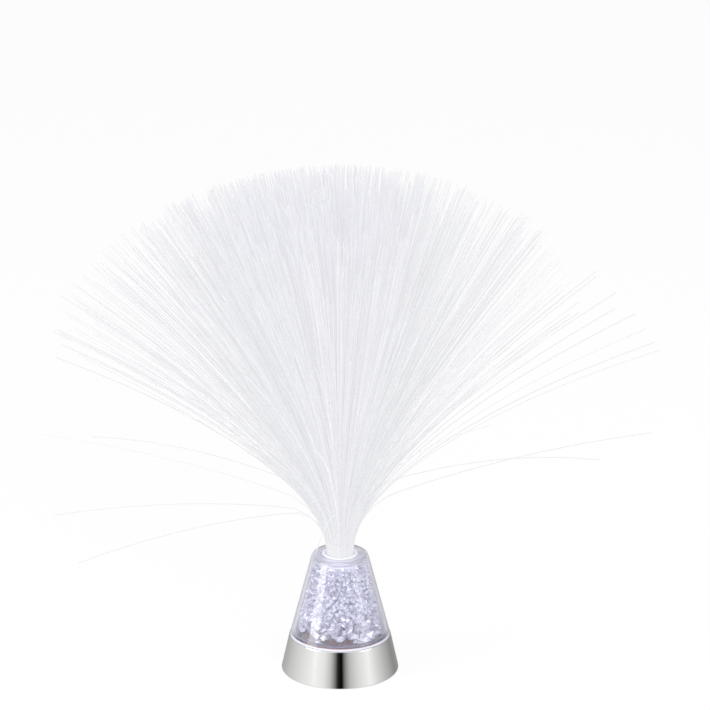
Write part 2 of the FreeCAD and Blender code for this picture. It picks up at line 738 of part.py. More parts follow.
def board_screws():
    """Two screws through the board into the posts on the bay's roof."""
    screws = []
    for x in ("post_x", "-post_x"):
        head = cylinder("board_screw_head_diameter / 2", "board_screw_head_height", x, "0", BOARD_TOP)
        shank = cylinder(
            "board_screw_diameter / 2", "board_thickness + board_screw_grip",
            x, "0", f"{BOARD_BOTTOM} - board_screw_grip",
        )
        top = f"( {BOARD_TOP} + board_screw_head_height )"
        screws.append(cut(fuse([head, shank]), cross_recess("board_screw_head_diameter", top, x, "0")))
    group(screws, "board_screws")


def leds():
    """Lens with a flange and a round tip, on two legs through the board."""
    names = ["centre_led", "rim_led_1", "rim_led_2", "rim_led_3"]
    for label, (x, y) in zip(names, led_places()):
        flange = cylinder("led_flange_diameter / 2", "led_flange_height", x, y, BOARD_TOP)
        tip_height = f"{BOARD_TOP} + led_flange_height + led_barrel_height"
        barrel = cylinder(
            "led_diameter / 2", "led_flange_height + led_barrel_height", x, y, BOARD_TOP
        )
        tip = doc.addObject("Part::Sphere", "Sphere")
        bind(tip, "Radius", "led_diameter / 2")
        set_place(tip, x, y, tip_height)
        legs = [
            cylinder(
                "led_leg_diameter / 2", "board_thickness + led_leg_stub",
                f"{x} {side} led_leg_pitch / 2", y, f"{BOARD_BOTTOM} - led_leg_stub",
            )
            for side in ("-", "+")
        ]
        node(fuse([flange, barrel, tip, *legs]), label)


def resistors():
    """Four chip resistors on the board's underside, one for each LED."""
    chips = [
        box(
            "resistor_length", "resistor_width", "resistor_height",
            f"resistor_radius * cos( {angle} )", f"resistor_radius * sin( {angle} )",
            f"{BOARD_BOTTOM} - resistor_height",
        )
        for angle in (30, 150, 210, 330)
    ]
    group(chips, "resistors")


def leads():
    """Insulated leads: cells to switch, switch to board, and board back to the cells."""
    axis, board, rise = number(CELL_AXIS), number(BOARD_BOTTOM), size("lead_rise")
    switch_top, switch_y = number(PLATE_TOP) + size("switch_height"), size("switch_y")
    lead_x = number(LEAD_X)
    start_y = size("cell_pitch") + size("spring_diameter") / 2
    start_y += size("spring_wire_diameter") / 2 + size("lead_end_gap")
    out_y = number(BAY_Y) + size("bay_wall") + size("lead_clearance")
    inward = lead_x - size("lead_run")
    lug = size("switch_length") / 2 - size("lug_inset")
    routes = {
        "lead_positive": [
            (lead_x, -start_y, axis),
            (lead_x, -out_y, axis),
            (inward, -out_y, switch_top + rise),
            (lug, switch_y, switch_top + rise),
            (lug, switch_y, switch_top),
        ],
        "lead_switched": [
            (0, switch_y, switch_top),
            (0, switch_y, switch_top + rise),
            (-lug / 2, switch_y, board - rise),
            (-lug / 2, switch_y, board),
        ],
        "lead_negative": [
            (-lead_x, start_y, axis),
            (-lead_x, out_y, axis),
            (-inward, out_y, board - rise),
            (-inward, out_y, board),
        ],
    }
    for label, corners in routes.items():
        shaped(tube_along([Vector(*corner) for corner in corners], size("lead_diameter") / 2), label)


# ---- dome ----


def floor_disc():
    """Clear disc on the skirt's ledge. The LEDs' tips stand through it."""
    body = new_body("floor_disc")
    sketch = sketch_on(body, "XY_Plane", LEDGE_TOP)
    circle(sketch, "0", "0", SPIGOT_RADIUS)
    for x, y in led_places():
        circle(sketch, x, y, "led_flange_diameter / 2 + led_gap")
    pad(body, sketch, "disc_thickness")


def dome_shell():
    """Clear cone with a spigot and thick lip below, and a thick top plate bored for the collar."""
    body = new_body("dome_shell")
    slope = f"( ( {DOME_BOTTOM_RADIUS} - dome_top_diameter / 2 ) / dome_height )"
    across = f"( dome_wall * sqrt( 1 + {slope} ^ 2 ) )"
    ceiling = f"( {DOME_TOP} - dome_top_thickness )"
    wall_foot = f"( {SKIRT_TOP} + lip_height + lip_slope_height )"

    def inside(height):
        return f"( dome_top_diameter / 2 + {slope} * ( {DOME_TOP} - {height} ) - {across} )"

    hole = f"( {COLLAR_RADIUS} + collar_gap )"
    seat = "( collar_flange_diameter / 2 + collar_gap )"
    seat_floor = f"( {DOME_TOP} - collar_flange_thickness )"
    base = revolve(
        body,
        [
            (SPIGOT_RADIUS, DISC_TOP),
            (SPIGOT_RADIUS, SKIRT_TOP),
            (DOME_BOTTOM_RADIUS, SKIRT_TOP),
            ("dome_top_diameter / 2", DOME_TOP),
            (seat, DOME_TOP),
            (seat, seat_floor),
            (hole, seat_floor),
            (hole, ceiling),
            (inside(ceiling), ceiling),
            (inside(wall_foot), wall_foot),
            (LIP_BORE, f"{SKIRT_TOP} + lip_height"),
            (LIP_BORE, DISC_TOP),
        ],
    )
    outer = ring_edge(size("dome_top_diameter") / 2, number(DOME_TOP))
    shoulder = round_edges(body, base, "shoulder_radius", outer)
    inner = ring_edge(number(inside(ceiling)), number(ceiling))
    round_edges(body, shoulder, "inner_shoulder_radius", inner)


def neck_collar():
    """White bush, its flange flush with the dome's top, that the fibre bundle plugs into."""
    body = new_body("neck_collar")
    bottom = f"( {DOME_TOP} - collar_length )"
    flange_under = f"( {DOME_TOP} - collar_flange_thickness )"
    revolve(
        body,
        [
            (f"{COLLAR_BORE} - collar_stop_width", bottom),
            (COLLAR_RADIUS, bottom),
            (COLLAR_RADIUS, flange_under),
            ("collar_flange_diameter / 2", flange_under),
            ("collar_flange_diameter / 2", DOME_TOP),
            (COLLAR_BORE, DOME_TOP),
            (COLLAR_BORE, COLLAR_STOP),
            (f"{COLLAR_BORE} - collar_stop_width", COLLAR_STOP),
        ],
    )


# a crystal's corners, and the least distance between two of them on a unit sphere
CORNER_COUNT = 10
CORNER_SPACING = 0.55


def chunk(rng, centre, half_width, half_height):
    """A crushed-ice crystal: the hull of a few points spread over an ellipsoid."""
    points = []
    while len(points) < CORNER_COUNT:
        way = Vector(rng.gauss(0, 1), rng.gauss(0, 1), rng.gauss(0, 1)).normalize()
        if all(way.distanceToPoint(other) > CORNER_SPACING for other in points):
            points.append(way)
    corners = [
        centre + Vector(p.x * half_width, p.y * half_width, p.z * half_height) for p in points
    ]
    faces = []
    for i, first in enumerate(corners):
        for j in range(i + 1, len(corners)):
            for k in range(j + 1, len(corners)):
                normal = (corners[j] - first).cross(corners[k] - first)
                sides = [normal.dot(p - first) > 0 for n, p in enumerate(corners) if n not in (i, j, k)]
                if all(sides) or not any(sides):
                    outline = [first, corners[j], corners[k], first]
                    faces.append(Part.Face(Part.makePolygon(outline)))
    solid = Part.makeSolid(Part.makeShell(faces))
    if solid.Volume < 0:
        solid.reverse()
    return solid


# each crystal node, and the shares of the dome's layers between which it lies
CRYSTAL_NODES = (
    ("crystals_lower", 0, 0.2), ("crystals_middle", 0.2, 0.5), ("crystals_upper", 0.5, 1),
)


def crystals():
    """Crystals in rings, layer on layer, from the floor disc to the dome's ceiling."""
    rng = random.Random(7)
    gap = size("crystal_gap")
    half_width, half_height = size("crystal_width") / 2 - gap, size("crystal_height") / 2 - gap
    floor, ceiling = number(DISC_TOP), number(DOME_TOP) - size("dome_top_thickness")
    skirt_top, dome_top = number(SKIRT_TOP), number(DOME_TOP)
    bottom, top = number(DOME_BOTTOM_RADIUS), size("dome_top_diameter") / 2
    slope = (bottom - top) / (dome_top - skirt_top)
    wall = size("dome_wall") * math.hypot(1, slope)
    lip_top = skirt_top + size("lip_height") + size("lip_slope_height")
    collar_bottom = dome_top - size("collar_length")
    led_top = number(BOARD_TOP) + size("led_flange_height") + size("led_barrel_height")
    led_top += size("led_diameter") / 2
    lamps = [Vector(number(x), number(y), 0) for x, y in led_places()]
    lamp_room = size("led_diameter") / 2 + size("crystal_width") / 2

    layers = int((ceiling - floor) / size("crystal_height"))
    found = []
    for layer in range(layers):
        middle = floor + (layer + 0.5) * size("crystal_height")
        low, high = middle - half_height, middle + half_height
        free = top + slope * (dome_top - high) - wall
        if low < lip_top:
            free = min(free, number(LIP_BORE))
        if high > ceiling - size("inner_shoulder_radius"):
            free -= size("inner_shoulder_radius")
        least = number(COLLAR_RADIUS) + size("crystal_width") / 2 if high > collar_bottom else 0
        reach = free - size("crystal_width") / 2
        turn = rng.uniform(0, 2 * math.pi)
        while reach >= max(least, 0):
            fits = math.asin(min(1, size("crystal_width") / 2 / reach)) if reach else math.pi
            count = max(1, int(math.pi / fits))
            if reach < size("crystal_width") / 2:
                reach, count = 0, 1
            for step in range(count):
                angle = turn + 2 * math.pi * step / count
                centre = Vector(reach * math.cos(angle), reach * math.sin(angle), middle)
                flat = Vector(centre.x, centre.y, 0)
                if low < led_top and any(flat.distanceToPoint(p) < lamp_room for p in lamps):
                    continue
                found.append((layer, chunk(rng, centre, half_width, half_height)))
            turn += rng.uniform(0.3, 0.9)
            reach -= size("crystal_width")
    for label, low, high in CRYSTAL_NODES:
        mine = [solid for layer, solid in found if low <= layer / layers < high]
        shaped(Part.makeCompound(mine), label)


# ---- fibre spray ----

# how a strand's lean grows: share of its free length, and the share of its full lean there
SPRAY_BENDS = ((0.18, 0.5),)
STRAY_BENDS = ((0.25, 0.85),)
# the middle of the spray stands nearly upright, so lean grows faster than a ring's radius
LEAN_GROWTH = 1.5
# a stray strand's place in the outer ring, as a share of the ring, its lean in degrees, and its
# free length as a share of the other strands' length. Beyond 90 degrees it droops.
STRAYS = (
    (0, 82, 0.9), (0.12, 110, 1.0), (0.17, 78, 0.87), (0.25, 82, 0.9), (0.3, 88, 0.83),
    (0.39, 104, 0.95), (0.44, 74, 0.87), (0.5, 82, 0.9), (0.55, 92, 0.83), (0.6, 96, 0.87),
    (0.75, 82, 0.9),
)


def fibre_ferrule():
    """Sleeve round the fibre bundle's lower end."""
    body = new_body("fibre_ferrule")
    sketch = sketch_on(body, "XY_Plane", COLLAR_STOP)
    circle(sketch, "0", "0", FERRULE_RADIUS)
    circle(sketch, "0", "0", FERRULE_BORE)
    pad(body, sketch, f"{DOME_TOP} - ferrule_drop - {COLLAR_STOP}")


def strand(start, foot, neck, azimuth, lean, length, bends, radius):
    """One fibre: straight up through the ferrule, then tangent arcs that lean it outward."""
    out = Vector(math.cos(azimuth), math.sin(azimuth), 0)
    up = Vector(0, 0, 1)
    reached = Vector(start.x, start.y, neck)
    edges = [Part.LineSegment(Vector(start.x, start.y, foot), reached).toShape()]
    travelled, angle = 0.0, 0.0
    for station, share in (*bends, (1.0, 1.0)):
        turn = lean * share - angle
        bend = length * (station - travelled) / turn
        centre = reached + (out * math.cos(angle) - up * math.sin(angle)) * bend
        ends = []
        for reach in (angle + turn / 2, angle + turn):
            ends.append(centre - (out * math.cos(reach) - up * math.sin(reach)) * bend)
        edges.append(Part.Arc(reached, ends[0], ends[1]).toShape())
        reached, travelled, angle = ends[1], station, angle + turn
    section = Part.Wire([Part.makeCircle(radius, Vector(start.x, start.y, foot), up)])
    return Part.Wire(edges).makePipeShell([section], True, False)


def fibre_strands():
    """Rings of strands round a middle one. Each ring leans further out than the one inside it."""
    rng = random.Random(21)
    foot, neck = number(COLLAR_STOP), number(DOME_TOP)
    rings, inner_rings = int(size("ring_count")), int(size("inner_ring_count"))
    pitch = size("strand_pitch")
    length, spread = size("strand_length"), size("strand_length_spread")
    full, lean_spread = size("spray_lean"), size("lean_spread")
    thick, thin = size("strand_diameter") / 2, size("stray_diameter") / 2
    middle_lean = math.radians(full * (0.5 / rings) ** LEAN_GROWTH)
    inner = [strand(Vector(), foot, neck, 0.0, middle_lean, length, SPRAY_BENDS, thick)]
    outer, stray = [], []
    places = 6 * rings
    strays = {int(share * places): (lean, part) for share, lean, part in STRAYS}
    for ring in range(1, rings + 1):
        count = 6 * ring
        growth = (ring / rings) ** LEAN_GROWTH
        for place in range(count):
            around = 2 * math.pi * place / count
            start = Vector(math.cos(around), math.sin(around), 0) * (ring * pitch)
            if ring == rings and place in strays:
                lean, part = strays[place]
                lean, long = math.radians(lean), length * part
                made = strand(start, foot, neck, around, lean, long, STRAY_BENDS, thin)
                stray.append(made)
                continue
            wander = rng.uniform(-0.4, 0.4) * 2 * math.pi / count
            lean = math.radians(full + rng.uniform(-lean_spread, lean_spread)) * growth
            long = length + rng.uniform(-spread, spread)
            made = strand(start, foot, neck, around + wander, lean, long, SPRAY_BENDS, thick)
            (inner if ring <= inner_rings else outer).append(made)
    for solids, label in (
        (inner, "fibre_strands_inner"), (outer, "fibre_strands_outer"), (stray, "stray_strands"),
    ):
        shaped(Part.makeCompound(solids), label)


def build():
    chrome_skirt()
    base_plate()
    battery_door()
    battery_cells()
    contacts()
    contact_springs()
    base_screws()
    rubber_feet()
    switch_housing()
    switch_slider()
    circuit_board()
    board_screws()
    leds()
    resistors()
    leads()
    floor_disc()
    dome_shell()
    neck_collar()
    crystals()
    fibre_ferrule()
    fibre_strands()
    doc.recompute()


def export():
    """Check every object, then write one file for each piece."""
    for thing in doc.Objects:
        if "Invalid" in thing.State or "Error" in thing.State:
            raise RuntimeError(f"{thing.Label} failed: {thing.State}")
    for piece in nodes:
        if piece.Shape.isNull() or not piece.Shape.isValid():
            raise RuntimeError(f"{piece.Label} has no valid shape")
    os.makedirs("parts", exist_ok=True)
    for piece in nodes:
        piece.Shape.exportStep(os.path.join("parts", f"{piece.Label}.step"))
        print(f"{piece.Label}: {len(piece.Shape.Solids)} solids, {piece.Shape.Volume:.1f} mm3")


build()
export()
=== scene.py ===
"""Fibre optic lamp: its looks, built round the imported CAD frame. Metres, +Z up.

The base, the dome, the collar, the crystals and the fibres are modelled here in finer form than
in the CAD frame. The other pieces are the frame's own nodes, each with the look of its material.
"""
import math
import random

import bmesh
import bpy
from mathutils import Matrix, Vector


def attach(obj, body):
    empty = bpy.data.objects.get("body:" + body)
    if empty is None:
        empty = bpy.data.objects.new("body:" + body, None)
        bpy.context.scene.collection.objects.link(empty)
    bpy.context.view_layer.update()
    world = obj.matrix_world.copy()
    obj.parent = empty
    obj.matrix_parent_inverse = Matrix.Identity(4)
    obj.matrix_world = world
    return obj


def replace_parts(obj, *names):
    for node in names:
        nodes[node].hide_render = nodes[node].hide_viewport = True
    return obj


MM = 0.001

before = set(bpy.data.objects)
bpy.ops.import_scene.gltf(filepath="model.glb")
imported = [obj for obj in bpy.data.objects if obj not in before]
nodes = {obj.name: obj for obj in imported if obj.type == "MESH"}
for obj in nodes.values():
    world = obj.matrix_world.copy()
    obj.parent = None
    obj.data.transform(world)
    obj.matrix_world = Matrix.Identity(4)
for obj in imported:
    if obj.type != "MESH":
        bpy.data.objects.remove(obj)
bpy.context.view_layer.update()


# ---- colours and nodes ----

WHITE = (1.0, 1.0, 1.0, 1.0)


def srgb(text):
    """An sRGB hex colour as a linear one with full alpha."""
    parts = [int(text[i:i + 2], 16) / 255 for i in (0, 2, 4)]
    return (*[p / 12.92 if p <= 0.04045 else ((p + 0.055) / 1.055) ** 2.4 for p in parts], 1.0)


def put(tree, kind, *values, **named):
    """Add a shader node and return it.

    The values are its inputs in their order. A named value is an input if its name starts with a
    capital, with _ for a space, and a setting if not. An input is a number, a colour, an output,
    or a node, which stands for its first output.
    """
    made = tree.nodes.new("ShaderNode" + kind)
    inputs = list(enumerate(values))
    for name, value in named.items():
        if name[0].isupper():
            inputs.append((name.replace("_", " "), value))
        else:
            setattr(made, name, value)
    for socket, value in inputs:
        if isinstance(value, bpy.types.Node):
            value = value.outputs[0]
        if isinstance(value, bpy.types.NodeSocket):
            tree.links.new(value, made.inputs[socket])
        else:
            made.inputs[socket].default_value = value
    return made


def toned(tree, share, tones):
    """A colour by share, from pairs of a share and a linear colour, in rising order."""
    ramp = put(tree, "ValToRGB", share)
    stops = ramp.color_ramp.elements
    while len(stops) < len(tones):
        stops.new(0.5)
    for stop, (where, colour) in zip(stops, tones):
        stop.position = where
        stop.color = colour
    return ramp


def seen_plainly(tree):
    """1 for what is seen directly or through clear plastic, and 0 for all other light."""
    ray = put(tree, "LightPath").outputs
    return put(
        tree, "Math", ray["Is Camera Ray"], ray["Is Transmission Ray"], operation="MAXIMUM"
    )


def material(name):
    """An empty node material and its tree."""
    made = bpy.data.materials.new(name)
    made.use_nodes = True
    made.node_tree.nodes.clear()
    return made, made.node_tree


# ---- camera, light and floor ----

FRAME_WIDTH = 453.4 * MM
CAMERA_DISTANCE = 12.0
CAMERA_REACH = 50.0
CAMERA_ELEVATION = math.radians(22.2)
SENSOR = 36.0
AIM = Vector((9.6, 0, 216.9)) * MM


def camera():
    """A long lens from the front, a little above the lamp."""
    data = bpy.data.cameras.new("camera")
    data.sensor_width = SENSOR
    data.lens = SENSOR * CAMERA_DISTANCE / FRAME_WIDTH
    data.clip_end = CAMERA_REACH
    made = bpy.data.objects.new("camera", data)
    bpy.context.scene.collection.objects.link(made)
    away = Vector((0, -math.cos(CAMERA_ELEVATION), math.sin(CAMERA_ELEVATION)))
    made.location = AIM + away * CAMERA_DISTANCE
    made.rotation_euler = (math.pi / 2 - CAMERA_ELEVATION, 0, 0)
    bpy.context.scene.camera = made
    bpy.context.scene.view_settings.view_transform = "Standard"


# brightness of the studio round the lamp, a lit cloth tent that is open and dark at the front:
# half turns from the front, anticlockwise seen from above, and grey level
STUDIO = (
    (-1.0, 0.35), (-0.76, 0.5), (-0.45, 0.8), (-0.32, 0.93), (-0.295, 1.0), (-0.265, 0.95),
    (-0.18, 0.85), (-0.11, 0.58), (-0.03, 0.03), (0.0, 0.004), (0.025, 0.004), (0.06, 0.26),
    (0.11, 0.53), (0.2, 0.75), (0.34, 0.97), (0.44, 0.73), (0.57, 0.5), (0.74, 0.28), (1.0, 0.35),
)


def studio():
    """World that is white seen directly or through clear plastic, and lights as a cloth tent."""
    world = bpy.data.worlds.new("studio")
    bpy.context.scene.world = world
    world.use_nodes = True
    tree = world.node_tree
    tree.nodes.clear()
    axes = put(tree, "SeparateXYZ", put(tree, "TexCoord").outputs["Generated"]).outputs
    front = put(tree, "Math", axes["Y"], -1.0, operation="MULTIPLY")
    turn = put(tree, "Math", axes["X"], front, operation="ARCTAN2")
    share = put(tree, "MapRange", turn, -math.pi, math.pi, 0.0, 1.0)
    greys = [((where + 1) / 2, (level, level, level, 1.0)) for where, level in STUDIO]
    tent = put(tree, "Background", toned(tree, share, greys), 1.0)
    white = put(tree, "Background", WHITE, 1.0)
    put(tree, "OutputWorld", put(tree, "MixShader", seen_plainly(tree), tent, white))


# name, degrees round from the front and up, distance and size in metres, power in watts, and
# whether polished pieces mirror it
SOFTBOXES = (
    ("left_strip", -66, 22.1, 1.6, (0.78, 1.4), 14, True),
    ("right_strip", 60, 23.4, 1.6, (0.8, 1.35), 5.2, True),
    ("top_box", 0, 80, 1.8, (1.2, 1.2), 4.5, True),
    ("front_fill", 15, 38, 2.2, (1.6, 1.2), 23, False),
)
DOME_MIDDLE = Vector((0, 0, 50)) * MM


def softbox(name, azimuth, elevation, distance, size, power, mirrored):
    """A rectangular light that faces the middle of the dome."""
    data = bpy.data.lights.new(name, "AREA")
    data.shape = "RECTANGLE"
    data.size, data.size_y = size
    data.energy = power
    made = bpy.data.objects.new(name, data)
    bpy.context.scene.collection.objects.link(made)
    made.visible_glossy = mirrored
    turn, up = math.radians(azimuth), math.radians(elevation)
    out = Vector((math.sin(turn) * math.cos(up), -math.cos(turn) * math.cos(up), math.sin(up)))
    made.location = DOME_MIDDLE + out * distance
    made.rotation_euler = out.to_track_quat("Z", "Y").to_euler()


FLOOR_REACH = 15.0
# how much of the floor's own white, without shade, is seen directly and through clear plastic
FLOOR_WHITENESS = 0.88


def floor():
    """White paper sweep. Polished pieces mirror the tent instead of it."""
    bm = bmesh.new()
    bmesh.ops.create_grid(bm, x_segments=1, y_segments=1, size=FLOOR_REACH)
    mesh = bpy.data.meshes.new("floor")
    bm.to_mesh(mesh)
    bm.free()
    made = bpy.data.objects.new("floor", mesh)
    bpy.context.scene.collection.objects.link(made)
    look, tree = material("white_paper_sweep")
    paper = put(tree, "BsdfDiffuse", Color=srgb("F9F9F9"))
    white = put(tree, "Emission", Color=WHITE, Strength=1.0)
    share = put(tree, "Math", seen_plainly(tree), FLOOR_WHITENESS, operation="MULTIPLY")
    sweep = put(tree, "MixShader", share, paper, white)
    mirrored = put(tree, "LightPath").outputs["Is Glossy Ray"]
    mixed = put(tree, "MixShader", mirrored, sweep, put(tree, "BsdfTransparent"))
    put(tree, "OutputMaterial", mixed)
    mesh.materials.append(look)


# ---- parts of materials ----

# most of a random pattern's values lie between these
USUAL_LOW, USUAL_HIGH = 0.3, 0.7


def grain(tree, spacing, detail, squeeze=(1, 1, 1)):
    """A soft random pattern fixed to the piece, its waves this many millimetres apart.

    It is squeezed along each axis by the factors.
    """
    place = put(tree, "TexCoord").outputs["Object"]
    squeezed = put(tree, "Mapping", place, Scale=squeeze)
    return put(tree, "TexNoise", Vector=squeezed, Scale=1 / (spacing * MM), Detail=detail)


def varied(tree, pattern, low, high):
    """A value that wanders from low to high with a random pattern."""
    return put(tree, "MapRange", pattern, USUAL_LOW, USUAL_HIGH, low, high)


def blended(tree, share, one, other):
    """A colour between two, by share."""
    return toned(tree, share, ((0.0, srgb(one)), (1.0, srgb(other))))


def relief(tree, height, depth, strength=1.0, edge=0.0):
    """Bump of a depth in millimetres, over edges that look rounded by a radius in millimetres."""
    bump = put(tree, "Bump", Strength=strength, Distance=depth * MM, Height=height)
    if edge:
        rounded = put(tree, "Bevel", Radius=edge * MM, samples=4)
        tree.links.new(rounded.outputs[0], bump.inputs["Normal"])
    return bump


def lit_through(tree, shader, tint):
    """The shader, but a tinted clear for shadow rays, so that light reaches what lies behind."""
    shadow = put(tree, "LightPath").outputs["Is Shadow Ray"]
    clear = put(tree, "BsdfTransparent", Color=srgb(tint))
    return put(tree, "MixShader", shadow, shader, clear)


# ---- materials of the pieces modelled here ----


def chrome_plating():
    """Decorative chrome on moulded ABS: a mirror with a very slight ripple from the mould."""
    made, tree = material("chrome_plated_abs")
    shader = put(
        tree, "BsdfPrincipled", Base_Color=srgb("F4F4F2"), Metallic=1.0,
        Roughness=varied(tree, grain(tree, spacing=7.14, detail=3.0), 0.03, 0.06),
        Normal=relief(tree, grain(tree, spacing=16.67, detail=1.0), depth=1.0, strength=0.01),
    )
    put(tree, "OutputMaterial", shader)
    return made


# haze in the dome's moulding, by height in millimetres. Its foot is frosted up to the first height
# and clear from the second, but only outside the radius.
FROST, FROST_TOP, CLEAR_FROM = 0.9, 25.6, 26.3
FROST_RADIUS = 31.0
# the spigot below is faintly frosted in the same way, at any radius
SPIGOT_FROST, SPIGOT_FROST_TOP, SPIGOT_CLEAR = 0.35, 22.5, 24.0
# the thick top plate is clear at the first height and hazy from the second
CROWN_HAZE, HAZE_FROM, HAZE_TOP = 0.5, 76.5, 79.5


def moulding_haze(tree):
    """Share of haze in the dome's wall, by height and by distance from its axis."""
    place = put(tree, "TexCoord").outputs["Object"]
    height = put(tree, "SeparateXYZ", place).outputs["Z"]
    flat = put(tree, "VectorMath", place, (1, 1, 0), operation="MULTIPLY")
    radius = put(tree, "VectorMath", flat, operation="LENGTH").outputs["Value"]
    outside = put(tree, "Math", radius, FROST_RADIUS * MM, operation="GREATER_THAN")
    foot = put(tree, "MapRange", height, FROST_TOP * MM, CLEAR_FROM * MM, FROST, 0.0)
    frost = put(tree, "Math", outside, foot, operation="MULTIPLY")
    spigot = put(
        tree, "MapRange", height, SPIGOT_FROST_TOP * MM, SPIGOT_CLEAR * MM, SPIGOT_FROST, 0.0
    )
    below = put(tree, "Math", frost, spigot, operation="MAXIMUM")
    crown = put(tree, "MapRange", height, HAZE_FROM * MM, HAZE_TOP * MM, 0.0, CROWN_HAZE)
    return put(tree, "Math", below, crown, operation="MAXIMUM")


def clear_acrylic(name, moulded):
    """Acrylic, clear and very slightly lavender, milky where it is seen edge-on, with a faint
    painted glow in the milk.

    A moulded one has the dome's haze as well, and is milkier at its edges than a cut sheet.
    """
    made, tree = material(name)
    glass = put(
        tree, "BsdfPrincipled", Base_Color=srgb("FAFAFE"), Roughness=0.015, IOR=1.49,
        Transmission_Weight=1.0,
        Normal=relief(tree, grain(tree, spacing=11.11, detail=1.0), depth=0.25, strength=0.04),
    )
    edge_on = put(tree, "LayerWeight", Blend=0.3).outputs["Facing"]
    if moulded:
        haze = moulding_haze(tree)
        colour = blended(tree, haze, "B2B2BE", "D8D8E4")
        milky_edge = put(
            tree, "MapRange", edge_on, From_Min=0.3, From_Max=0.58, To_Min=0.08, To_Max=0.85
        )
        share = put(tree, "Math", milky_edge, haze, operation="MAXIMUM")
    else:
        colour = srgb("A8A8B4")
        share = put(
            tree, "MapRange", edge_on, From_Min=0.6, From_Max=1.0, To_Min=0.02, To_Max=0.3
        )
    # real haze, plus a faint painted glow: its emission lightens it though it gives no light
    haze_and_glow = put(
        tree, "BsdfPrincipled", Base_Color=colour, Roughness=0.3,
        Emission_Color=srgb("F2F2F8"), Emission_Strength=0.05,
    )
    body = put(tree, "MixShader", share, glass, haze_and_glow)
    put(tree, "OutputMaterial", lit_through(tree, body, "F4F4FA"))
    return made


def milky_plastic():
    """Natural polypropylene: milky white and faintly waxy, with a faint painted glow that lightens
    it.
    """
    made, tree = material("milky_polypropylene")
    # painted glow: a faint emission, though nothing in the collar gives light
    shader = put(
        tree, "BsdfPrincipled", Base_Color=srgb("E4E4EE"), Roughness=0.35,
        Emission_Color=srgb("F0F0FA"), Emission_Strength=0.1,
        Normal=relief(tree, grain(tree, spacing=3.333, detail=2.0), depth=0.1, strength=0.1),
    )
    put(tree, "OutputMaterial", shader)
    return made


# painted light and shade of the fracture faces: tones by a random number from 0 to 1 that each
# face has, dark ones standing for shade and pale ones for highlights
PAINTED_FACET_LIGHT = (
    (0.0, "767686"), (0.08, "AEAEBA"), (0.26, "CCCCD6"), (0.7, "DCDCE5"), (0.9, "ECECF4"),
    (1.0, "F8F8FE"),
)
# faces whose normals differ by less than about this have the same random number
FACET_STEP = 0.02


def facet_value(tree):
    """A random number for each flat fracture face, from the way it faces."""
    facing = put(tree, "NewGeometry").outputs["True Normal"]
    stepped = put(tree, "VectorMath", facing, (FACET_STEP,) * 3, operation="SNAP")
    return put(tree, "TexWhiteNoise", Vector=stepped).outputs["Value"]


def crushed_acrylic():
    """Broken acrylic: clear chunks whose fracture faces each have a painted tone of light or shade
    by the way they face.

    The few faces with the highest numbers flash with painted glints, and all faces have a faint
    painted glow.
    """
    made, tree = material("crushed_clear_acrylic")
    facet = facet_value(tree)
    # painted glow: emission on every face, strongest as painted glints on the few faces with the
    # highest numbers
    painted_glints = put(tree, "MapRange", facet, From_Min=0.88, From_Max=0.96, To_Min=0.045, To_Max=0.36)
    # base colour: the faces' painted light and shade
    chunk = put(
        tree, "BsdfPrincipled", IOR=1.49, Transmission_Weight=0.35,
        Base_Color=toned(tree, facet, [(where, srgb(colour)) for where, colour in PAINTED_FACET_LIGHT]),
        Roughness=varied(tree, grain(tree, spacing=1.429, detail=2.0), 0.03, 0.2),
        Emission_Color=srgb("F4F4FF"), Emission_Strength=painted_glints,
        Normal=relief(tree, grain(tree, spacing=2.0, detail=2.0), depth=0.3, strength=0.4),
    )
    put(tree, "OutputMaterial", lit_through(tree, chunk, "B4B4C0"))
    return made


def fibre_plastic(name, dim_glow, bright_glow):
    """Drawn acrylic fibre with a painted glow: emission that lifts the shade the strands cast on
    each other, so the spray reads pale white.
    """
    made, tree = material(name)
    strand = put(tree, "NewGeometry").outputs["Random Per Island"]
    # painted glow by strand: emission stands in for light, and a few strands are brighter than the
    # rest
    painted_glow = put(tree, "MapRange", strand, From_Min=0.8, From_Max=0.97, To_Min=0.625, To_Max=0.75)
    shader = put(
        tree, "BsdfPrincipled", Base_Color=srgb("8A8A8E"), IOR=1.49,
        Roughness=varied(tree, grain(tree, spacing=4.0, detail=1.0), 0.25, 0.4),
        Emission_Color=blended(tree, strand, dim_glow, bright_glow), Emission_Strength=painted_glow,
    )
    put(tree, "OutputMaterial", shader)
    return made


# ---- materials of the frame's own nodes ----

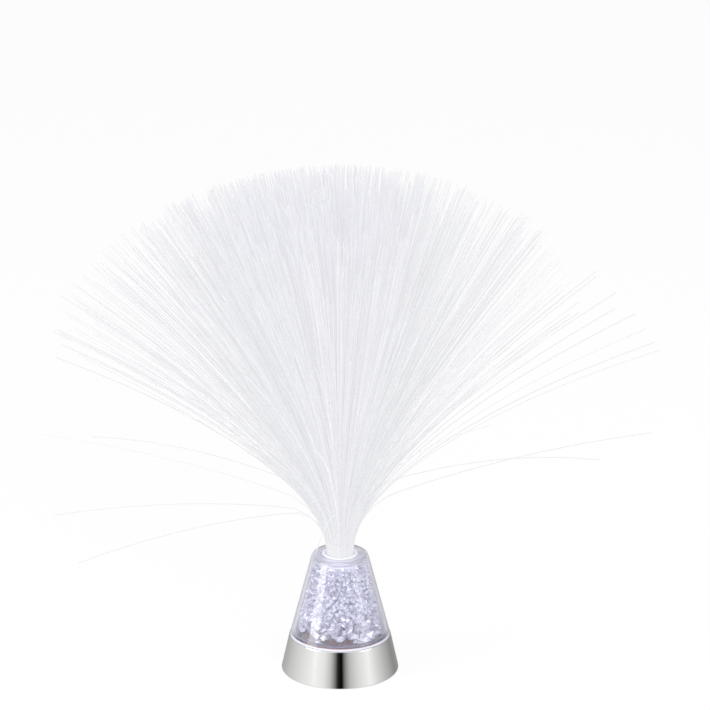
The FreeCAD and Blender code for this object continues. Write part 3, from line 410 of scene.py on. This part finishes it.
# two close tones and roughness, then in millimetres the spacing and depth of the surface's grain
# and the radius of the worn edges, and last how metallic it is. The grain of the real ones is too
# fine to show, so it is drawn coarser.
SOLIDS = {
    # dark plastic from a textured mould, with a soft sheen
    "black_abs": ("1B1B1D", "232326", 0.42, 2.5, 0.05, 0.25, 0.0),
    # slippery black plastic, a little glossier than the ABS
    "black_acetal": ("141416", "1E1E20", 0.38, 2.5, 0.05, 0.25, 0.0),
    # matt and dark, with edges rounded by the mould
    "soft_black_rubber": ("26262A", "303034", 0.75, 1.667, 0.1, 0.4, 0.0),
    # warm grey metal, softly mirroring
    "nickel_plated_steel": ("B9B7B1", "CFCDC8", 0.28, 1.111, 0.01, 0.1, 1.0),
    # cool grey metal, duller than nickel
    "zinc_plated_steel": ("A8ABAF", "C2C5C8", 0.34, 1.429, 0.01, 0.15, 1.0),
    # grey sheet metal with a dull shine
    "stamped_tin_plate": ("B4B4AE", "C8C8C2", 0.35, 1.25, 0.01, 0.1, 1.0),
    # smooth printed film, nearly black
    "cell_label_film": ("23262B", "2D3138", 0.3, 5.0, 0.02, 0.3, 0.0),
    # dull dark body with a fine tooth
    "resistor_ceramic": ("17171A", "24242A", 0.5, 1.111, 0.02, 0.1, 0.0),
    # deep red and slightly waxy
    "red_pvc_insulation": ("9C1B1E", "B02A2A", 0.45, 2.0, 0.03, 0.0, 0.0),
    # black and slightly waxy
    "black_pvc_insulation": ("161618", "222224", 0.45, 2.0, 0.03, 0.0, 0.0),
    # pale and glossy, as thick clear plastic over white fibres looks
    "clear_shrink_sleeve": ("D8D8DE", "E8E8EE", 0.3, 3.333, 0.03, 0.0, 0.0),
}
# the two tones lie in blotches this many times as far apart as the grain
BLOTCHES = 8
# how far the roughness wanders to both sides of its value
ROUGHNESS_BELOW, ROUGHNESS_ABOVE = 0.06, 0.1


def solid_material(name, colour, other, roughness, spacing, depth, edge, metallic):
    """A solid material with a fine surface grain, two close tones and slightly worn edges."""
    made, tree = material(name)
    grainy = grain(tree, spacing, detail=3.0)
    blotchy = grain(tree, spacing * BLOTCHES, detail=2.0)
    shader = put(
        tree, "BsdfPrincipled", Metallic=metallic,
        Base_Color=blended(tree, blotchy, colour, other),
        Roughness=varied(tree, grainy, roughness - ROUGHNESS_BELOW, roughness + ROUGHNESS_ABOVE),
        Normal=relief(tree, grainy, depth, strength=0.5, edge=edge),
    )
    put(tree, "OutputMaterial", shader)
    return made


def phenolic_board():
    """Paper phenolic: brown with fine paper fibres along X, faintly glossy."""
    made, tree = material("paper_phenolic_board")
    paper = grain(tree, spacing=2.0, detail=4.0, squeeze=(1, 6, 1))
    shader = put(
        tree, "BsdfPrincipled", Base_Color=blended(tree, paper, "9A5A40", "B87A5E"), IOR=1.55,
        Roughness=varied(tree, paper, 0.3, 0.5),
        Normal=relief(tree, paper, depth=0.05, strength=0.4, edge=0.2),
    )
    put(tree, "OutputMaterial", shader)
    return made


def clear_epoxy():
    """Water-clear epoxy of the LEDs: bright and clear, with soft dents from its mould."""
    made, tree = material("clear_led_epoxy")
    shader = put(
        tree, "BsdfPrincipled", Base_Color=srgb("F2F4F8"), IOR=1.53, Transmission_Weight=0.85,
        Roughness=varied(tree, grain(tree, spacing=3.333, detail=1.0), 0.04, 0.12),
        Normal=relief(tree, grain(tree, spacing=5.0, detail=1.0), depth=0.1, strength=0.1),
    )
    put(tree, "OutputMaterial", shader)
    return made


# the nodes that are made of each material
MADE_OF = {
    "black_abs": ("base_plate", "battery_door"),
    "black_acetal": ("switch_slider",),
    "soft_black_rubber": ("rubber_feet",),
    "nickel_plated_steel": ("link_contacts", "terminal_contacts", "contact_springs"),
    "zinc_plated_steel": ("base_screws", "board_screws"),
    "stamped_tin_plate": ("switch_housing",),
    "cell_label_film": ("battery_cell_1", "battery_cell_2", "battery_cell_3"),
    "resistor_ceramic": ("resistors",),
    "red_pvc_insulation": ("lead_positive", "lead_switched"),
    "black_pvc_insulation": ("lead_negative",),
    "clear_shrink_sleeve": ("fibre_ferrule",),
    "paper_phenolic_board": ("circuit_board",),
    "clear_led_epoxy": ("centre_led", "rim_led_1", "rim_led_2", "rim_led_3"),
    "clear_acrylic_sheet": ("floor_disc",),
}


def dress_frame():
    """Give the frame's own nodes the look of what they are made of, and return the looks."""
    looks = {name: solid_material(name, *values) for name, values in SOLIDS.items()}
    looks["paper_phenolic_board"] = phenolic_board()
    looks["clear_led_epoxy"] = clear_epoxy()
    looks["clear_acrylic_sheet"] = clear_acrylic("clear_acrylic_sheet", moulded=False)
    for name, dressed in MADE_OF.items():
        for node in dressed:
            slots = nodes[node].data.materials
            slots.clear()
            slots.append(looks[name])
    return looks


# ---- shapes ----

SHARP = math.radians(30)
SAME_POINT = 0.001 * MM


def piece(name, bm, body, look, smooth=True):
    """Turn a bmesh into an object that rides on a body. Corners over 30 degrees stay crisp."""
    mesh = bpy.data.meshes.new(name)
    bm.to_mesh(mesh)
    bm.free()
    mesh.polygons.foreach_set("use_smooth", [smooth] * len(mesh.polygons))
    if smooth:
        mesh.set_sharp_from_angle(angle=SHARP)
    mesh.materials.append(look)
    made = bpy.data.objects.new(name, mesh)
    bpy.context.scene.collection.objects.link(made)
    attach(made, body)
    return made


def spun(outline, steps):
    """A closed outline of (radius, height) in millimetres, turned about Z."""
    bm = bmesh.new()
    corners = [bm.verts.new(Vector((r, 0, z)) * MM) for r, z in outline]
    for one, other in zip(corners, corners[1:] + corners[:1]):
        bm.edges.new((one, other))
    bmesh.ops.spin(
        bm, geom=bm.verts[:] + bm.edges[:], cent=(0, 0, 0), axis=(0, 0, 1),
        angle=2 * math.pi, steps=steps, use_merge=True,
    )
    bmesh.ops.remove_doubles(bm, verts=bm.verts[:], dist=SAME_POINT)
    bmesh.ops.recalc_face_normals(bm, faces=bm.faces[:])
    return bm


def arc(centre, radius, start, end, steps):
    """Points of an arc in the (radius, height) plane, from one angle in degrees to another."""
    made = []
    for step in range(steps + 1):
        angle = math.radians(start + (end - start) * step / steps)
        made.append((centre[0] + radius * math.cos(angle), centre[1] + radius * math.sin(angle)))
    return made


def run(start, end, margin=0.3):
    """Two points just inside a straight run's ends, so that its shading stays flat."""
    way = (Vector(end) - Vector(start)).normalized() * margin
    return [tuple(Vector(start) + way), tuple(Vector(end) - way)]


# ---- base, dome and collar ----

# heights, radii, widths and thicknesses in millimetres
SKIRT_LOW, SKIRT_HIGH = 0.6, 24.2
SKIRT_LOW_RADIUS, SKIRT_HIGH_RADIUS = 37.5, 32.5
# the skirt's inner face, under its ledge and at its foot
SKIRT_HIGH_INSIDE, SKIRT_LOW_INSIDE = 32.1, 35.9
RIM_WIDTH = 2.1
LEDGE_WIDTH, LEDGE_THICKNESS = 2.8, 1.4
DISC_THICKNESS = 1.6

SPIGOT_GAP, SPIGOT_LENGTH = 0.2, 2.8
MOUTH_RADIUS = SKIRT_HIGH_RADIUS - RIM_WIDTH
SPIGOT_RADIUS, SPIGOT_FOOT = MOUTH_RADIUS - SPIGOT_GAP, SKIRT_HIGH - SPIGOT_LENGTH

DOME_LOW_RADIUS, DOME_HIGH_RADIUS = 32.0, 17.8
DOME_TOP, CEILING = 80.0, 77.0
DOME_WALL = 2.0
# the dome's thick lip: its inner radius, its top, and the height where the wall is thin again
LIP_RADIUS, LIP_TOP, LIP_END = 27.2, 25.4, 27.8
DOME_SLOPE = (DOME_LOW_RADIUS - DOME_HIGH_RADIUS) / (DOME_TOP - SKIRT_HIGH)

COLLAR_BORE, COLLAR_TUBE, COLLAR_RIM = 9.225, 10.425, 11.5
COLLAR_FOOT, COLLAR_GAP = 66.0, 0.1
FLANGE_THICKNESS = 1.5
# the lip at the collar's foot that the fibres' sleeve stands on
STOP_WIDTH, STOP_THICKNESS = 1.6, 1.2

# flats round each turned piece
BASE_STEPS, DOME_STEPS, COLLAR_STEPS = 256, 192, 128


def chrome_base(look):
    """Conical skirt with rounded edges, a flat rim and a ledge under the dome's floor."""
    lean = math.degrees(math.atan2(SKIRT_LOW_RADIUS - SKIRT_HIGH_RADIUS, SKIRT_HIGH - SKIRT_LOW))
    # radii of the rounded edges, and how far they lie inside the cone's corners
    low, high = 0.6, 0.4
    low_inset, high_inset = 0.1, -0.03
    bottom = arc((SKIRT_LOW_RADIUS - low - low_inset, SKIRT_LOW + low), low, -90, lean, 6)
    top = arc((SKIRT_HIGH_RADIUS - high - high_inset, SKIRT_HIGH - high), high, lean, 90, 5)
    ledge_radius = MOUTH_RADIUS - LEDGE_WIDTH
    ledge_top = SPIGOT_FOOT - DISC_THICKNESS
    ledge_foot = ledge_top - LEDGE_THICKNESS
    outline = [
        *bottom, *run(bottom[-1], top[0]), *top,
        (MOUTH_RADIUS, SKIRT_HIGH), (MOUTH_RADIUS, ledge_top),
        (ledge_radius, ledge_top), (ledge_radius, ledge_foot),
        (SKIRT_HIGH_INSIDE, ledge_foot), (SKIRT_LOW_INSIDE, SKIRT_LOW),
    ]
    made = piece("chrome_base", spun(outline, BASE_STEPS), "base", look)
    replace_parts(made, "chrome_skirt")


def grip_ribs(look):
    """Five low ribs moulded on the battery door beside its finger notch."""
    length, width, stands_out, count, pitch, first = 14.0, 0.8, 0.35, 5, 1.7, 14.0
    door_face, sunk, rounding = 0.8, 0.3, 0.15
    bm = bmesh.new()
    for number in range(count):
        made = bmesh.ops.create_cube(bm, size=1)["verts"]
        size = Vector((width, length, stands_out + sunk)) * MM
        place = Vector((first + number * pitch, 0, door_face + (sunk - stands_out) / 2)) * MM
        bmesh.ops.transform(
            bm, matrix=Matrix.Translation(place) @ Matrix.Diagonal((*size, 1)), verts=made
        )
        edges = list({edge for corner in made for edge in corner.link_edges})
        bmesh.ops.bevel(
            bm, geom=edges, offset=rounding * MM, segments=3, profile=0.5, affect="EDGES",
            material=-1,
        )
    piece("door_grip_ribs", bm, "door", look)


def dome_outside(z):
    """Radius of the dome's outer face."""
    return DOME_HIGH_RADIUS + DOME_SLOPE * (DOME_TOP - z)


def dome_inside(z):
    """Radius of the dome's inner face, whose foot thickens into the lip."""
    thin = dome_outside(z) - DOME_WALL * math.hypot(1, DOME_SLOPE)
    if z >= LIP_END:
        return thin
    return max(LIP_RADIUS, LIP_RADIUS + (thin - LIP_RADIUS) * (z - LIP_TOP) / (LIP_END - LIP_TOP))


def clear_dome(look):
    """One closed thick-walled cone: rounded shoulder, thick top plate and thick lower lip."""
    lean = math.degrees(math.atan(DOME_SLOPE))
    shoulder, inner, heel = 3.0, 1.5, 0.5
    wide = shoulder * math.tan(math.radians(90 - lean) / 2)
    narrow = inner * math.tan(math.radians(90 - lean) / 2)
    foot = arc((DOME_LOW_RADIUS - heel, SKIRT_HIGH + heel), heel, -90, lean, 4)
    crown = arc((DOME_HIGH_RADIUS - wide, DOME_TOP - shoulder), shoulder, lean, 90, 10)
    vault = arc((dome_inside(CEILING) - narrow, CEILING - inner), inner, 90, lean, 6)
    sill = (dome_inside(LIP_END), LIP_END)
    seat = DOME_TOP - FLANGE_THICKNESS
    outline = [
        (SPIGOT_RADIUS, SPIGOT_FOOT), (SPIGOT_RADIUS, SKIRT_HIGH),
        *foot, *run(foot[-1], crown[0]), *crown,
        (COLLAR_RIM + COLLAR_GAP, DOME_TOP), (COLLAR_RIM + COLLAR_GAP, seat),
        (COLLAR_TUBE + COLLAR_GAP, seat), (COLLAR_TUBE + COLLAR_GAP, CEILING),
        *vault, *run(vault[-1], sill), sill, (LIP_RADIUS, LIP_TOP), (LIP_RADIUS, SPIGOT_FOOT),
    ]
    made = piece("clear_dome", spun(outline, DOME_STEPS), "base", look)
    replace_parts(made, "dome_shell")


def white_collar(look):
    """Bush in the dome's top. Its flange lies flush, with a rounded rim."""
    rim, mouth = 0.4, 0.5
    seat = DOME_TOP - FLANGE_THICKNESS
    stop_bore, stop_top = COLLAR_BORE - STOP_WIDTH, COLLAR_FOOT + STOP_THICKNESS
    outline = [
        (stop_bore, COLLAR_FOOT), (COLLAR_TUBE, COLLAR_FOOT), (COLLAR_TUBE, seat),
        (COLLAR_RIM, seat),
        *arc((COLLAR_RIM - rim, DOME_TOP - rim), rim, 0, 90, 4),
        *arc((COLLAR_BORE + mouth, DOME_TOP - mouth), mouth, 90, 180, 4),
        (COLLAR_BORE, stop_top), (stop_bore, stop_top),
    ]
    made = piece("white_collar", spun(outline, COLLAR_STEPS), "base", look)
    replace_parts(made, "neck_collar")


# ---- crystals ----

# piece, CAD node, lowest and highest centre, chunk size at the bottom and at the top, in mm
CRYSTAL_GROUPS = (
    ("crystals_at_the_bottom", "crystals_lower", 24.6, 33.5, 7.0, 6.0),
    ("crystals_in_the_middle", "crystals_middle", 35.5, 52.0, 5.4, 4.4),
    ("crystals_at_the_top", "crystals_upper", 54.0, 75.0, 4.2, 3.6),
)
CRYSTAL_SEED = 5
CHUNK_CORNERS = 11
# steps from chunk to chunk along a ring, from ring to ring inwards and from layer to layer up, as
# shares of a chunk's size
RING_PITCH, RING_STEP, LAYER_STEP = 0.8, 0.85, 0.72
# how far a chunk is shifted at random: share of a step along the ring, and shares of its size
# inwards and up or down
SHIFT_ALONG, SHIFT_INWARDS, SHIFT_UP = 0.2, 0.15, 0.25
SMALLEST, LARGEST = 0.9, 1.1
# shares of a chunk's size: how far below its middle it meets the leaning wall, and how near to
# the axis the innermost ring may come
WALL_BELOW, INMOST = 0.2, 0.4
# the lowest that a chunk's underside goes, just above the floor disc
CRYSTAL_FLOOR = 21.6
# above this height no ring of chunks is narrower than the radius, to leave room for the collar
COLLAR_ROOM_FROM, COLLAR_ROOM_RADIUS = 62, 13.0
# room left round the middle and the three outer LEDs: radius of their ring, height and radius
LED_RING, LED_ROOM_HEIGHT, LED_ROOM_RADIUS = 16, 22.5, 5.6
LED_PLACES = [Vector((0, 0, LED_ROOM_HEIGHT))] + [
    Vector((LED_RING * math.cos(a), LED_RING * math.sin(a), LED_ROOM_HEIGHT))
    for a in (math.radians(90), math.radians(210), math.radians(330))
]
# hollows between the lowest crystals that slope down from the front wall to the board: middle
# along X, middle across the slope, half width and half height, to which the margin is added as a
# share of a chunk's size
HOLLOWS = ((-21.8, 20.3, 3.2, 2.2), (-5.8, 14.8, 4.2, 2.6), (6.1, 15.1, 2.2, 1.8))
HOLLOW_SLOPE = math.radians(22.2)
HOLLOW_MARGIN = 0.42


def crystal_chunk(bm, rng, centre, size):
    """A broken chunk: the hull of a few points spread over a squashed ball."""
    corners = []
    for _ in range(CHUNK_CORNERS):
        way = Vector((rng.gauss(0, 1), rng.gauss(0, 1), rng.gauss(0, 1))).normalized()
        corners.append(bm.verts.new(way * rng.uniform(0.85, 1.0)))
    made = bmesh.ops.convex_hull(bm, input=corners)
    spare = [v for v in made["geom_interior"] if isinstance(v, bmesh.types.BMVert)]
    kept = [v for v in corners if v not in spare]
    bmesh.ops.delete(bm, geom=spare, context="VERTS")
    stretch = Vector((rng.uniform(0.8, 1.0), rng.uniform(0.8, 1.0), rng.uniform(0.8, 1.0)))
    turn = Matrix.Rotation(rng.uniform(0, math.pi), 4, Vector((rng.random(), rng.random(), 1)))
    place = Matrix.Translation(centre) @ turn @ Matrix.Diagonal((*(stretch * size / 2), 1))
    bmesh.ops.transform(bm, matrix=place, verts=kept)


def in_hollow(centre, size):
    """Whether a chunk would stand in one of the hollows."""
    across = centre.z * math.cos(HOLLOW_SLOPE) + centre.y * math.sin(HOLLOW_SLOPE)
    for middle, height, half_width, half_height in HOLLOWS:
        wide = (centre.x - middle) / (half_width + size * HOLLOW_MARGIN)
        high = (across - height) / (half_height + size * HOLLOW_MARGIN)
        if math.hypot(wide, high) < 1:
            return True
    return False


def crystal_layer(bm, rng, z, size):
    """Rings of chunks at one height, from the dome's wall inwards."""
    reach = dome_inside(z - size * WALL_BELOW) - size / 2
    inmost = COLLAR_ROOM_RADIUS if z > COLLAR_ROOM_FROM else size * INMOST
    while reach > inmost:
        count = max(1, round(2 * math.pi * reach / (size * RING_PITCH)))
        start = rng.random()
        for number in range(count):
            along = number + start + rng.uniform(-SHIFT_ALONG, SHIFT_ALONG)
            angle = 2 * math.pi * along / count
            near = reach - rng.uniform(0, size * SHIFT_INWARDS)
            height = z + rng.uniform(-SHIFT_UP, SHIFT_UP) * size
            height = max(height, CRYSTAL_FLOOR + size / 2)
            centre = Vector((near * math.cos(angle), near * math.sin(angle), height))
            at_led = any((centre - led).length < LED_ROOM_RADIUS for led in LED_PLACES)
            if not (at_led or in_hollow(centre, size)):
                crystal_chunk(bm, rng, centre * MM, size * rng.uniform(SMALLEST, LARGEST) * MM)
        reach -= size * RING_STEP


def crystals(look):
    """Chunks packed in layers that fill the dome, larger at the bottom."""
    rng = random.Random(CRYSTAL_SEED)
    for name, replaced, low, high, wide, narrow in CRYSTAL_GROUPS:
        bm = bmesh.new()
        z = low
        while z <= high:
            size = wide + (narrow - wide) * (z - low) / (high - low)
            crystal_layer(bm, rng, z, size)
            z += size * LAYER_STEP
        made = piece(name, bm, "base", look, smooth=False)
        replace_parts(made, replaced)


# ---- fibres ----

# the spray's pieces from its middle out, with as many fibres in each, and their CAD nodes
SPRAY_PIECES = (
    ("core_fibres", "fibre_strands_inner"),
    ("middle_fibres", "fibre_strands_inner"),
    ("outer_fibres", "fibre_strands_outer"),
    ("rim_fibres", "fibre_strands_outer"),
)
FIBRE_SEED = 11
FIBRE_COUNT = 3000
FIBRE_RADIUS, STRAY_RADIUS = 0.2, 0.3
# a fibre's thickness where it stands in the bundle, as a share of the thickness at its tip
BUNDLED = 0.75
BUNDLE_RADIUS = 8.35
FIBRE_FOOT, NECK = 67.6, 80.0
FIBRE_LENGTH = 247.0
# lengths from the neck in millimetres at which a fibre has points, closer where it bends more
STATIONS = (3, 7, 12, 19, 28, 39, 52, 68, 87, 109, 134, 161, 190, 219)
# length from the neck in millimetres, and the share of the full lean that a fibre has there
SPRAY_BEND = (
    (0, 0.04), (14, 0.24), (25, 0.4), (36, 0.52), (52, 0.64), (76, 0.73), (110, 0.82), (150, 0.89),
    (200, 0.96), (247, 1.0),
)
# share of the bundle's section, from its middle out, and the full lean in degrees
SPRAY_LEANS = (
    (0, 0), (0.12, 9), (0.35, 17), (0.57, 23), (0.75, 29.5), (0.86, 37.5), (0.93, 46), (1, 58),
)
# the spray as a whole tips a little towards -X: by the share at the neck, and more further out
SPRAY_TIP, TIP_AT_NECK = -0.09, 0.5

# fibres stick together in tufts: how far an upright fibre's aim moves to its tuft's own, and what
# each degree of lean takes from that
TUFT_COUNT = 330
TUFT_PULL, PULL_LOSS = 0.82, 0.0075
# spreads of the aims in degrees, of a tuft's place in the bundle, and of the drift sideways
TUFT_SPREAD, FIBRE_SPREAD = 2.4, 0.8
TUFT_PLACE_SPREAD = 0.02
TUFT_SWAY, FIBRE_SWAY = 0.05, 0.02
# in millimetres: how much longer than usual the longest fibres are, the spread by which the
# others are shorter than those, and what each degree of lean past the last value adds to it
LONGEST, RAGGED, RAGGED_GROWTH, RAGGED_FROM = 1.5, 1.5, 0.3, 32

# single fibres that lie outside the others: direction in degrees from the X axis, full lean and
# share of the fibres' length
FAR_FIBRES = (
    (8, 51, 0.91), (6, 52.5, 1), (11, 53.5, 1), (8, 55.5, 0.91), (5, 56.5, 0.9), (10, 57.5, 0.87),
    (8, 58.5, 1), (7, 61, 0.97), (9, 65, 1), (8, 68.5, 1), (9, 72.5, 1), (7, 73.5, 1),
    (172, 59.5, 1), (170, 60, 0.86), (174, 66.5, 0.955), (171, 67, 0.95), (168, 69, 0.935),
    (175, 71.5, 0.915), (169, 71, 0.915), (60, 66, 1), (95, 70, 1), (130, 64, 1), (235, 62, 1),
    (265, 66, 1), (300, 64, 1),
)
# single fibres that droop: place in the bundle's outer ring, full lean in degrees and share of
# the fibres' length
STRAYS = (
    (0, 82, 0.9), (5, 110, 1.0), (7, 78, 0.87), (10, 82, 0.9), (12, 88, 0.83), (16, 104, 0.95),
    (18, 74, 0.87), (21, 82, 0.9), (23, 92, 0.83), (25, 96, 0.87), (31, 82, 0.9),
)
OUTER_RING_COUNT, OUTER_RING_RADIUS = 42, 8.19
# a stray fibre's bend, as shares of its length and of its full lean
STRAY_BEND = ((0, 0), (0.25, 0.85), (1, 1))


def share_at(table, value):
    """Read a table of pairs, with straight lines between them."""
    for (near, low), (far, high) in zip(table, table[1:]):
        if value <= far:
            return low + (high - low) * (value - near) / (far - near)
    return table[-1][1]


def fibre_route(start, turn, lean, length, bend, sway=0.0, tip=0.0):
    """Points of one fibre in millimetres: up through the sleeve, then out along its bend.

    Sway drives it sideways and tip along X, both more and more towards its end.
    """
    out = Vector((math.cos(turn), math.sin(turn), 0))
    side = Vector((-out.y, out.x, 0))
    points = [Vector((start.x, start.y, FIBRE_FOOT)), Vector((start.x, start.y, NECK))]
    here = points[-1].copy()
    travelled = 0.0
    for station in [s * length / FIBRE_LENGTH for s in STATIONS] + [length]:
        step = station - travelled
        angle = lean * share_at(bend, travelled + step / 2)
        part = travelled / length
        drift = side * (sway * part) + Vector((tip * (TIP_AT_NECK + part), 0, 0))
        way = out * math.sin(angle) + Vector((0, 0, math.cos(angle))) + drift
        here = here + way.normalized() * step
        travelled = station
        points.append(here.copy())
    return points


def strands(name, routes, radius, look):
    """Round tubes along many routes, as one mesh."""
    curve = bpy.data.curves.new(name, "CURVE")
    curve.dimensions = "3D"
    curve.bevel_depth = radius * MM
    curve.bevel_resolution = 1
    curve.use_fill_caps = True
    curve.resolution_u = 1
    for route in routes:
        spline = curve.splines.new("POLY")
        spline.points.add(len(route) - 1)
        for number, (point, place) in enumerate(zip(spline.points, route)):
            point.co = (*(place * MM), 1)
            point.radius = BUNDLED + (1 - BUNDLED) * number / (len(route) - 1)
    holder = bpy.data.objects.new(name, curve)
    mesh = bpy.data.meshes.new_from_object(holder)
    bpy.data.objects.remove(holder)
    bpy.data.curves.remove(curve)
    bm = bmesh.new()
    bm.from_mesh(mesh)
    bpy.data.meshes.remove(mesh)
    return piece(name, bm, "spray", look)


def sunflower(number, count):
    """Place of one of many in an evenly filled disc of radius 1."""
    turn = number * math.pi * (3 - math.sqrt(5))
    return Vector((math.cos(turn), math.sin(turn))) * math.sqrt((number + 0.5) / count)


def aim_at(place):
    """Full lean in degrees, as a vector along its direction, of a place in the bundle."""
    return place.normalized() * share_at(SPRAY_LEANS, place.length_squared)


def scatter(rng, size):
    """A random step on the flat, of this spread."""
    return Vector((rng.gauss(0, size), rng.gauss(0, size)))


def spray_routes():
    """Routes of the spray's fibres, from its middle out."""
    rng = random.Random(FIBRE_SEED)
    tufts = []
    for number in range(TUFT_COUNT):
        place = sunflower(number, TUFT_COUNT) + scatter(rng, TUFT_PLACE_SPREAD)
        aim = aim_at(place) + scatter(rng, TUFT_SPREAD)
        tufts.append((place, aim, rng.gauss(0, TUFT_SWAY)))
    routes = []
    for number in range(FIBRE_COUNT):
        place = sunflower(number, FIBRE_COUNT)
        _, tuft_aim, sway = min(tufts, key=lambda tuft: (tuft[0] - place).length_squared)
        aim = aim_at(place)
        pull = TUFT_PULL - PULL_LOSS * aim.length
        aim = aim.lerp(tuft_aim, pull) + scatter(rng, FIBRE_SPREAD)
        ragged = RAGGED + max(0.0, aim.length - RAGGED_FROM) * RAGGED_GROWTH
        length = FIBRE_LENGTH + LONGEST - abs(rng.gauss(0, ragged))
        routes.append(fibre_route(
            place.to_3d() * BUNDLE_RADIUS, math.atan2(aim.y, aim.x), math.radians(aim.length),
            length, SPRAY_BEND, sway + rng.gauss(0, FIBRE_SWAY), SPRAY_TIP,
        ))
    return routes


def far_routes():
    """Routes of the single fibres that lie outside the others."""
    routes = []
    for degrees, lean, part in FAR_FIBRES:
        turn = math.radians(degrees)
        start = Vector((math.cos(turn), math.sin(turn), 0)) * BUNDLE_RADIUS
        length = FIBRE_LENGTH * part
        routes.append(fibre_route(start, turn, math.radians(lean), length, SPRAY_BEND))
    return routes


def stray_routes():
    """Routes of the single fibres that droop."""
    routes = []
    for place, lean, part in STRAYS:
        turn = 2 * math.pi * place / OUTER_RING_COUNT
        start = Vector((math.cos(turn), math.sin(turn), 0)) * OUTER_RING_RADIUS
        length = FIBRE_LENGTH * part
        bend = [(share * length, leaned) for share, leaned in STRAY_BEND]
        routes.append(fibre_route(start, turn, math.radians(lean), length, bend))
    return routes


def fibres():
    """The spray in four pieces, the far fibres and the strays."""
    # the two colours are the dim and bright tones of the strands' painted glow
    outer = fibre_plastic("drawn_acrylic_fibre_outer", "E4E5E7", "F0F0F1")
    looks = {
        "fibre_strands_inner": fibre_plastic("drawn_acrylic_fibre", "E2E3E9", "F0F0F3"),
        "fibre_strands_outer": outer,
    }
    routes = spray_routes()
    share = len(routes) // len(SPRAY_PIECES)
    for number, (name, replaced) in enumerate(SPRAY_PIECES):
        part = routes[number * share:(number + 1) * share]
        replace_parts(strands(name, part, FIBRE_RADIUS, looks[replaced]), replaced)
    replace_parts(strands("far_fibres", far_routes(), STRAY_RADIUS, outer), "fibre_strands_outer")
    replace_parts(strands("stray_fibres", stray_routes(), STRAY_RADIUS, outer), "stray_strands")


def main():
    """Light the studio and build every piece."""
    camera()
    studio()
    for values in SOFTBOXES:
        softbox(*values)
    floor()
    looks = dress_frame()
    grip_ribs(looks["black_abs"])
    chrome_base(chrome_plating())
    clear_dome(clear_acrylic("moulded_clear_acrylic", moulded=True))
    white_collar(milky_plastic())
    crystals(crushed_acrylic())
    fibres()


main()
